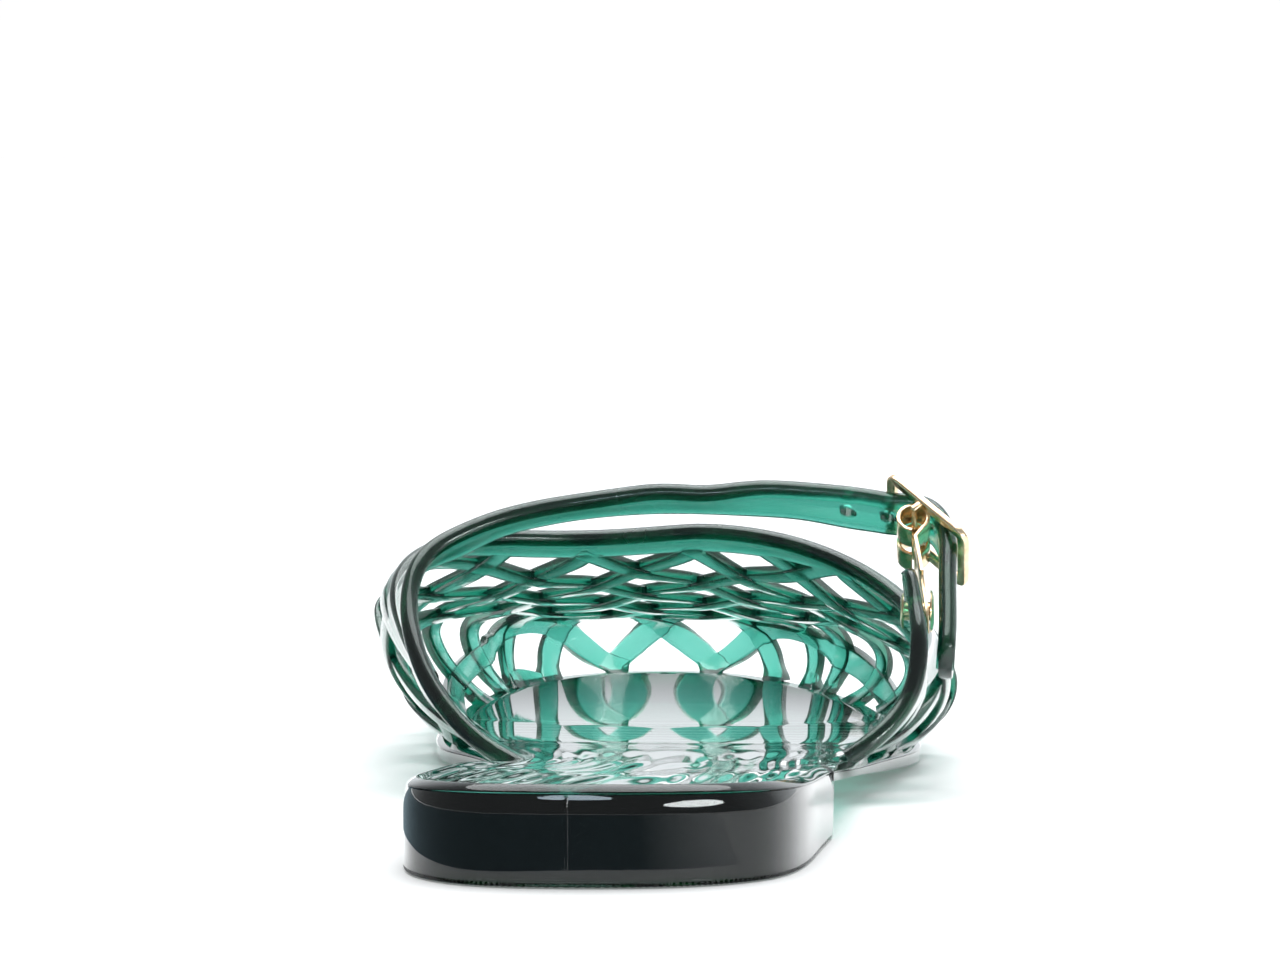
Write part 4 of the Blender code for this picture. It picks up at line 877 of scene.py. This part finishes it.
def sole_mesh():
    y = sole_stations()
    count = len(y)
    lateral = np.column_stack([side_x("lateral", y), y])
    medial = np.column_stack([side_x("medial", y), y])
    ring = np.concatenate([lateral, medial[-2:0:-1]])
    along = np.roll(ring, -1, axis=0) - np.roll(ring, 1, axis=0)
    inward = unit(np.column_stack([-along[:, 1], along[:, 0]]))
    ring_y = ring[:, 1]
    top, bottom = edge_height(ring_y), tread_height(ring_y)
    heel_part = 1 - ease(ring_y, *HEEL_SHELF_RUN)
    lip = HEEL_LIP * heel_part
    shelf = FORE_SHELF + (HEEL_SHELF - FORE_SHELF) * heel_part
    loops = sole_loops(top, bottom, heel_part, shelf, lip, teeth(ring_y))
    rings = [np.column_stack([ring + inward * inset[:, None], z]) for inset, z in loops]
    vertices, faces = loft(rings)
    vertices = list(vertices)
    faces = faces[:-2]
    size = len(ring)

    def fill(first, height, columns, flip):
        """Rows of vertices between the two sides of a ring, closing it."""
        rows = []
        for k in range(1, count - 1):
            left, right = vertices[first + size - k], vertices[first + k]
            row = [first + size - k]
            for share in np.linspace(0.0, 1.0, columns)[1:-1]:
                point = left + (right - left) * share
                point[2] -= height(point, 2 * share - 1)
                row.append(len(vertices))
                vertices.append(point)
            row.append(first + k)
            rows.append(row)
        found = []
        for one, two in zip(rows, rows[1:]):
            found.extend(zip(one, one[1:], two[1:], two))
        for a, b in zip(rows[0], rows[0][1:]):
            found.append((first, b, a))
        for a, b in zip(rows[-1], rows[-1][1:]):
            found.append((a, b, first + count - 1))
        faces.extend([f[::-1] for f in found] if flip else found)

    def dish(point, v):
        depth = np.interp(point[1], *np.array(DISH).T)
        return depth * (1 - v * v) ** 2 + ripple(point, v) + fore_hollow(point) * (1 - v**4)

    fill(0, tread, TREAD_COLUMNS, True)
    fill(size * (len(loops) - 1), dish, FOOTBED_COLUMNS, False)
    return vertices, faces


def tread(point, v):
    """Ribs across the tread, as a recess between them."""
    at = point[1]
    on_floor = at < BREAST_Y - RIB_MARGIN or FLAT_FROM < at < FLAT_TO
    wave = 0.5 + 0.5 * math.sin(2 * math.pi * at / RIB_PITCH)
    return -RIB_DEPTH * ease(wave, *RIB_SLOPE) * (1 - v**8) if on_floor else 0.0


def ripple(point, v):
    """Slow waves that the moulding leaves in the seat of the heel, mostly along its edge."""
    x, y, _ = point
    strength = RIPPLE * (1 - ease(y, *RIPPLE_RUN)) * (1 - v**8)
    waves = math.sin(2 * math.pi * (RIPPLE_COUNT * math.sqrt(v * v + RIPPLE_HEART) + y / RIPPLE_SWIRL))
    for along_x, along_y, phase, share in RIPPLE_WAVES:
        waves += share * math.sin(2 * math.pi * (x / along_x + y / along_y) + phase)
    return strength * waves


def fore_hollow(point):
    """Shallow hollow of the footbed under the toes, which begins at a line across it."""
    x, y, _ = point
    begin = HOLLOW_RUN[0] + HOLLOW_BOW * x * x
    share = min(max((y - begin) / (HOLLOW_RUN[1] - begin), 0.0), 1.0)
    return HOLLOW * share * (1 - share**3)


def parting_line():
    """Thin ridge where the mould parts at the back of the heel."""
    x, y = HEEL_BACK
    z = np.linspace(RIDGE_FROM, edge_height(y) - GROOVE_DEPTH - RIDGE_MARGIN, RIDGE_STEPS)
    back = y + shoulder(np.maximum(z - z[-1] + SHOULDER_HIGH - RIDGE_MARGIN, 0.0))
    rings = []
    for at, high in zip(back, z):
        ring = [(x + RIDGE[0] * math.cos(a), at + RIDGE[1] * math.sin(a), high) for a in circle(12)]
        rings.append(ring)
    return loft(rings)


def sole():
    made = new_object("mule_sole", *sole_mesh())
    combine(made, [new_object("ridge", *parting_line())], "UNION")
    return made


# Buckle

def box(corner, u, v, w):
    ring = np.array([corner, corner + u, corner + u + v, corner + v])
    return loft([ring, ring + w])


def spokes(axis, sides):
    """Unit directions round an axis."""
    one = unit(np.cross(axis, (0.3, 0.5, 0.81)))
    two = np.cross(axis, one)
    turn = circle(sides)
    return np.cos(turn)[:, None] * one + np.sin(turn)[:, None] * two


def rod(start, end, radius, sides=40):
    ring = radius * spokes(unit(end - start), sides)
    return loft([start + ring, end + ring])


def turned(centre, axis, rows, sides=56):
    """Solid of revolution from rows of distance along the axis and radius, closed by its end rows."""
    spoke = spokes(axis, sides)
    return loft([centre + axis * d + spoke * r for d, r in rows])


def tube(path, radius, sides=18):
    """Round bar along a path in the strap plane at one place across it."""
    turn = circle(sides)[:, None]
    side = unit(np.cross(np.gradient(path, axis=0), STRAP_W))
    return loft([p + radius * (np.cos(turn) * s + np.sin(turn) * STRAP_W) for p, s in zip(path, side)])


def frame_axes():
    """Middle, run and outward direction of the frame in the plane of x and height, and its length."""
    start, end = np.array(FRAME_START), np.array(FRAME_END)
    length = np.linalg.norm(end - start)
    run = (end - start) / length
    return (start + end) / 2, run, np.array((-run[1], run[0])), length


def frame_ring():
    """Rounded rectangle of the buckle frame as a closed bar."""
    middle, run, out, length = frame_axes()
    half_w = (FRAME_FAR_A - FRAME_NEAR_A) / 2
    path = rounded_corners(length / 2, half_w, FRAME_CORNER, FRAME_CORNER, FRAME_CORNER_STEPS)
    along = unit(np.roll(path, -1, axis=0) - np.roll(path, 1, axis=0))
    side = np.column_stack([along[:, 1], -along[:, 0]])
    section = rounded_corners(FRAME_BAR_WIDE, FRAME_BAR_THICK, BAR_CORNER, BAR_CORNER, CORNER_STEPS)
    rings = []
    for p, s in zip(path, side):
        place = p + s * section[:, :1]
        xt = middle + place[:, :1] * run + section[:, 1:] * out
        rings.append(in_strap_plane(xt[:, 0], xt[:, 1], (FRAME_NEAR_A + FRAME_FAR_A) / 2 + place[:, 1]))
    return loft(rings, closed=True)


def buckle_frame():
    made = new_object("buckle_frame_gold", *frame_ring())
    _, run, out, _ = frame_axes()
    centre = np.array(BAR_CENTRE)
    rise = (np.array(FRAME_START) - centre) @ out
    corner = centre - run * BAR_RADIUS * LUG_WIDE - out * BAR_RADIUS
    run_3d, out_3d = in_strap_plane(*run, 0.0), in_strap_plane(*out, 0.0)
    tools = []
    for a in (FRAME_NEAR_A - LUG_THICK / 2, FRAME_FAR_A - LUG_THICK / 2):
        edges = (run_3d * BAR_RADIUS * 2 * LUG_WIDE, out_3d * (rise + BAR_RADIUS), STRAP_W * LUG_THICK)
        lug = new_object("lug", *box(in_strap_plane(*corner, a), *edges))
        bevel(lug, LUG_BEVEL)
        tools.append(lug)
    ends = [in_strap_plane(*centre, a) for a in (FRAME_NEAR_A, FRAME_FAR_A)]
    tools.append(new_object("bar", *rod(*ends, BAR_RADIUS)))
    combine(made, tools, "UNION")
    return made


def clip_profile():
    """Rolled end and plate of the clip, as one outline of x and height along the strap."""
    sweep = np.radians(np.linspace(*KNUCKLE_TURN, KNUCKLE_STEPS))
    roll = np.column_stack([np.cos(sweep), np.sin(sweep)])
    outer = KNUCKLE_OUTER + KNUCKLE_SWELL
    outside = KNUCKLE_CENTRE + outer * roll
    inside = KNUCKLE_CENTRE + (outer - CLIP_THICK) * roll[::-1]
    plate = resample(CLIP_PLATE, PLATE_STEPS)
    half = np.array((CLIP_THICK / 2, 0.0))
    return np.concatenate([plate[::-1] + half, outside, inside, plate - half])


def buckle_clip():
    profile = clip_profile()
    made = new_object("buckle_clip_gold", *loft([in_strap_plane(*profile.T, a) for a in CLIP_A]))
    x, t = KNUCKLE_CENTRE
    reach = KNUCKLE_OUTER + KNUCKLE_SWELL + CLIP_THICK
    foot_z = CLIP_PLATE[-1][1] - CLIP_MARGIN / 2
    foot_rise = CLIP_FOOT_TOP - foot_z
    margin, wide = CLIP_MARGIN, 3 * CLIP_MARGIN
    cuts = (
        ((x - reach, t - reach, CLIP_GAP_A[0]), (2 * reach, 2 * reach, CLIP_GAP_A[1] - CLIP_GAP_A[0])),
        ((x, foot_z, CLIP_A[0] - margin), (wide, foot_rise, CLIP_FOOT_A[0] - CLIP_A[0] + margin)),
        ((x, foot_z, CLIP_FOOT_A[1]), (wide, foot_rise, CLIP_A[1] - CLIP_FOOT_A[1] + margin)),
    )
    tools = []
    for corner, (right, up, deep) in cuts:
        edges = (STRAP_X * right, STRAP_T * up, STRAP_W * deep)
        tools.append(new_object("clip cut", *box(in_strap_plane(*corner), *edges)))
    ends = [in_strap_plane(x_end, *RIVET_PLACE) for x_end in CLIP_BORE]
    tools.append(new_object("rivet bore", *rod(*ends, RIVET_HOLE)))
    combine(made, tools, "DIFFERENCE")
    bevel(made, CLIP_BEVEL, 2)
    return made


def buckle_prong():
    inner, outer = PRONG_RING
    x, t = BAR_CENTRE
    middle_r, middle_a = (inner + outer) / 2, sum(PRONG_A) / 2
    halves = (outer - inner) / 2, (PRONG_A[1] - PRONG_A[0]) / 2
    section = rounded_corners(*halves, PRONG_CORNER, PRONG_CORNER, PRONG_CORNER_STEPS)
    r, a = middle_r + section[:, 0], middle_a + section[:, 1]
    turns = circle(PRONG_SIDES)
    rings = [in_strap_plane(x + r * math.cos(turn), t + r * math.sin(turn), a) for turn in turns]
    made = new_object("buckle_prong_gold", *loft(rings, closed=True))
    path = in_strap_plane(*resample(PRONG_PATH, PRONG_STEPS).T, middle_a)
    arm = new_object("arm", *tube(path, PRONG_RADIUS))
    bevel(arm, PRONG_CORNER)
    combine(made, [arm], "UNION")
    return made


def rivet():
    made = new_object("rivet_gold", *turned(in_strap_plane(0.0, *RIVET_PLACE), STRAP_X, RIVET_ROWS))
    bevel(made, CLIP_BEVEL, 3, 25.0)
    return made


# Materials

def set_inputs(node, values):
    for name, value in values.items():
        node.inputs[name].default_value = value


class Nodes:
    """Short way to add and link the nodes of one shader tree."""

    def __init__(self, tree):
        self.tree = tree

    def add(self, kind, inputs=None, **settings):
        node = self.tree.nodes.new("ShaderNode" + kind)
        for name, value in settings.items():
            setattr(node, name, value)
        set_inputs(node, inputs or {})
        return node

    def link(self, start, output, end, socket):
        self.tree.links.new(start.outputs[output], end.inputs[socket])

    def noise(self, place, scale, detail):
        noise = self.add("TexNoise", {"Scale": scale, "Detail": detail})
        self.link(place, "Object", noise, "Vector")
        return noise

    def spread(self, start, output, limits, **settings):
        """Values mapped from one range to another: least and most before, least and most after."""
        names = ("From Min", "From Max", "To Min", "To Max")
        spread = self.add("MapRange", dict(zip(names, limits)), **settings)
        self.link(start, output, spread, "Value")
        return spread

    def ramp(self, start, output, stops):
        """Colours between stops, each a place and a colour."""
        ramp = self.add("ValToRGB")
        elements = ramp.color_ramp.elements
        for _ in stops[2:]:
            elements.new(0.5)
        for element, (at, colour) in zip(elements, stops):
            element.position = at
            element.color = (*colour, 1.0)
        self.link(start, output, ramp, "Fac")
        return ramp


def new_material(name, values):
    """Material with these inputs of its shader set, its nodes and its shader."""
    material = bpy.data.materials.new(name)
    material.use_nodes = True
    shader = material.node_tree.nodes["Principled BSDF"]
    set_inputs(shader, values)
    return material, Nodes(material.node_tree), shader


def noise_roughness(nodes, shader, scale, low, high):
    """Roughness that wanders between two values over the surface."""
    place = nodes.add("TexCoord")
    spread = nodes.spread(nodes.noise(place, scale, ROUGHNESS_DETAIL), "Fac", (*NOISE_RANGE, low, high))
    nodes.link(spread, "Result", shader, "Roughness")
    return place


def noise_bump(nodes, shader, place, scale, strength, distance):
    """Small relief from noise."""
    relief = nodes.add("Bump", {"Strength": strength, "Distance": distance})
    nodes.link(nodes.noise(place, scale, RELIEF_DETAIL), "Fac", relief, "Height")
    for socket in ("Normal", "Coat Normal"):
        nodes.link(relief, "Normal", shader, socket)


def jelly(name, relief, rough, coat_ior, tint):
    """Clear moulded plastic, coloured by its depth, with a wet-looking skin."""
    material, nodes, shader = new_material(name, {
        "Base Color": (*PLASTIC_SKIN, 1.0),
        "Transmission Weight": 1.0,
        "IOR": PLASTIC_IOR,
        "Specular Tint": (*tint, 1.0),
        "Coat Weight": 1.0,
        "Coat IOR": coat_ior,
        "Coat Roughness": COAT_ROUGHNESS,
    })
    place = noise_roughness(nodes, shader, PLASTIC_GRAIN, *rough)
    noise_bump(nodes, shader, place, *relief)
    depth = nodes.add("VolumeAbsorption", {"Color": (*JELLY_COLOUR, 1.0), "Density": JELLY_DENSITY})
    nodes.link(depth, "Volume", material.node_tree.nodes["Material Output"], "Volume")
    return material


def gold(name):
    material, nodes, shader = new_material(name, {"Metallic": 1.0})
    place = noise_roughness(nodes, shader, *GOLD_ROUGHNESS)
    noise_bump(nodes, shader, place, *GOLD_RELIEF)
    ramp = nodes.ramp(nodes.noise(place, GOLD_GRAIN, GRAIN_DETAIL), "Fac", GOLD_COLOURS)
    nodes.link(ramp, "Color", shader, "Base Color")
    return material


def dress(thing, material, node):
    """Shading and material of one piece, and the node of the CAD that it stands for."""
    thing.data.shade_smooth()
    thing.data.set_sharp_from_angle(angle=math.radians(CREASE_DEGREES))
    thing.data.materials.clear()
    thing.data.materials.append(material)
    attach(thing, "root")
    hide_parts(node)


upper_plastic = jelly("emerald jelly", *UPPER_FINISH)
sole_plastic = jelly("deep emerald jelly", *SOLE_FINISH)
brass = gold("pale gold")

dress(upper(), upper_plastic, "upper")
dress(sole(), sole_plastic, "sole")
dress(buckle_frame(), brass, "buckle_frame")
dress(buckle_clip(), brass, "buckle_clip")
dress(buckle_prong(), brass, "buckle_prong")
dress(rivet(), brass, "rivet")


# Stage, light and camera

def stage_object(name, vertices, faces, material, hidden_from=()):
    """Object of the studio, hidden from some kinds of ray."""
    thing = mesh_object(name, vertices, faces)
    thing.data.materials.append(material)
    for ray in hidden_from:
        setattr(thing, "visible_" + ray, False)


def make_floor():
    values = {"Base Color": PALE, "Specular IOR Level": FLOOR_SPECULAR, "Emission Color": WHITE}
    material, nodes, shader = new_material("pale floor", values)
    place = noise_roughness(nodes, shader, *FLOOR_ROUGHNESS)
    away = nodes.add("VectorMath", operation="LENGTH")
    nodes.link(place, "Object", away, 0)
    glow = nodes.spread(away, "Value", FLOOR_GLOW, interpolation_type="SMOOTHSTEP")
    nodes.link(glow, "Result", shader, "Emission Strength")
    ways = ((-1, -1), (1, -1), (1, 1), (-1, 1))
    corners = [(FLOOR_REACH * x, FLOOR_REACH * y, FLOOR_DROP) for x, y in ways]
    stage_object("floor", corners, [(0, 1, 2, 3)], material)


def make_backdrop():
    """White surround that only the camera sees."""
    values = {"Base Color": BLACK, "Emission Color": WHITE, "Emission Strength": 1.0}
    material, nodes, shader = new_material("backdrop", values)
    noise_roughness(nodes, shader, *CARD_ROUGHNESS)
    material.cycles.emission_sampling = "NONE"
    turn = circle(48)
    rings = []
    for rise in BACKDROP_RISE:
        flat = np.column_stack([np.cos(turn), np.sin(turn), 0 * turn]) * math.cos(rise)
        rings.append(BACKDROP_RADIUS * (flat + (0.0, 0.0, math.sin(rise))))
    stage_object("backdrop", *loft(rings), material, ("diffuse", "glossy", "transmission", "shadow"))


def make_reflection_card():
    """Dark card on the floor behind the heel that only reflections see: a painted dark reflection in the
    heel, darker behind and to -x, lighter toward +x.
    """
    material, nodes, shader = new_material("dark reflection card", {})
    place = noise_roughness(nodes, shader, *CARD_ROUGHNESS)
    side = nodes.add("VectorMath", operation="NORMALIZE")
    parts = nodes.add("SeparateXYZ")
    nodes.link(place, "Object", side, 0)
    nodes.link(side, "Vector", parts, "Vector")
    nodes.link(nodes.ramp(parts, "X", REFLECTION_CARD_SHADES), "Color", shader, "Base Color")
    vertices = [(r * math.cos(a), r * math.sin(a), 0.0) for r in REFLECTION_CARD_REACH for a in REFLECTION_CARD_TURN]
    count = len(REFLECTION_CARD_TURN)
    faces = [(k, k + 1, count + k + 1, count + k) for k in range(count - 1)]
    stage_object("dark reflection card", vertices, faces, material, ("camera", "diffuse", "transmission", "shadow"))


def aim(thing, place, heading):
    thing.location = place
    thing.rotation_mode = "QUATERNION"
    thing.rotation_quaternion = Vector(heading).to_track_quat("-Z", "Y")


def make_light(name, place, toward, size, power, colour, lights_floor):
    data = bpy.data.lights.new(name, "AREA")
    data.shape = "ELLIPSE"
    data.size, data.size_y = size
    data.energy = power
    data.color = colour
    lamp = link_object(name, data)
    aim(lamp, place, Vector(toward) - Vector(place))
    lamp.visible_diffuse = lights_floor


def make_world():
    """Room round the shoe, bright in front of the toe and overhead and dark behind the camera."""
    world = bpy.data.worlds.new("room")
    world.use_nodes = True
    nodes = Nodes(world.node_tree)
    along = nodes.add("VectorMath", operation="DOT_PRODUCT")
    along.inputs[1].default_value = Vector(ROOM_BRIGHT).normalized()
    nodes.link(nodes.add("TexCoord"), "Generated", along, 0)
    spread = nodes.spread(along, "Value", (-1.0, 1.0, 0.0, 1.0))
    stops = [((at + 1) / 2, [light * c for c in ROOM_TINT]) for at, light in ROOM_LIGHT]
    ramp = nodes.ramp(spread, "Result", stops)
    nodes.link(ramp, "Color", world.node_tree.nodes["Background"], "Color")
    bpy.context.scene.world = world


def make_camera():
    data = bpy.data.cameras.new("camera")
    data.lens = CAMERA_LENS
    data.sensor_width = CAMERA_SENSOR
    data.clip_start = CAMERA_CLIP
    camera = link_object("camera", data)
    aim(camera, CAMERA_PLACE, CAMERA_HEADING)
    bpy.context.scene.camera = camera


make_floor()
make_world()
make_backdrop()
make_reflection_card()
for lamp in LAMPS:
    make_light(*lamp)
make_camera()
view = bpy.context.scene.view_settings
view.view_transform = "Standard"
view.look = "None"
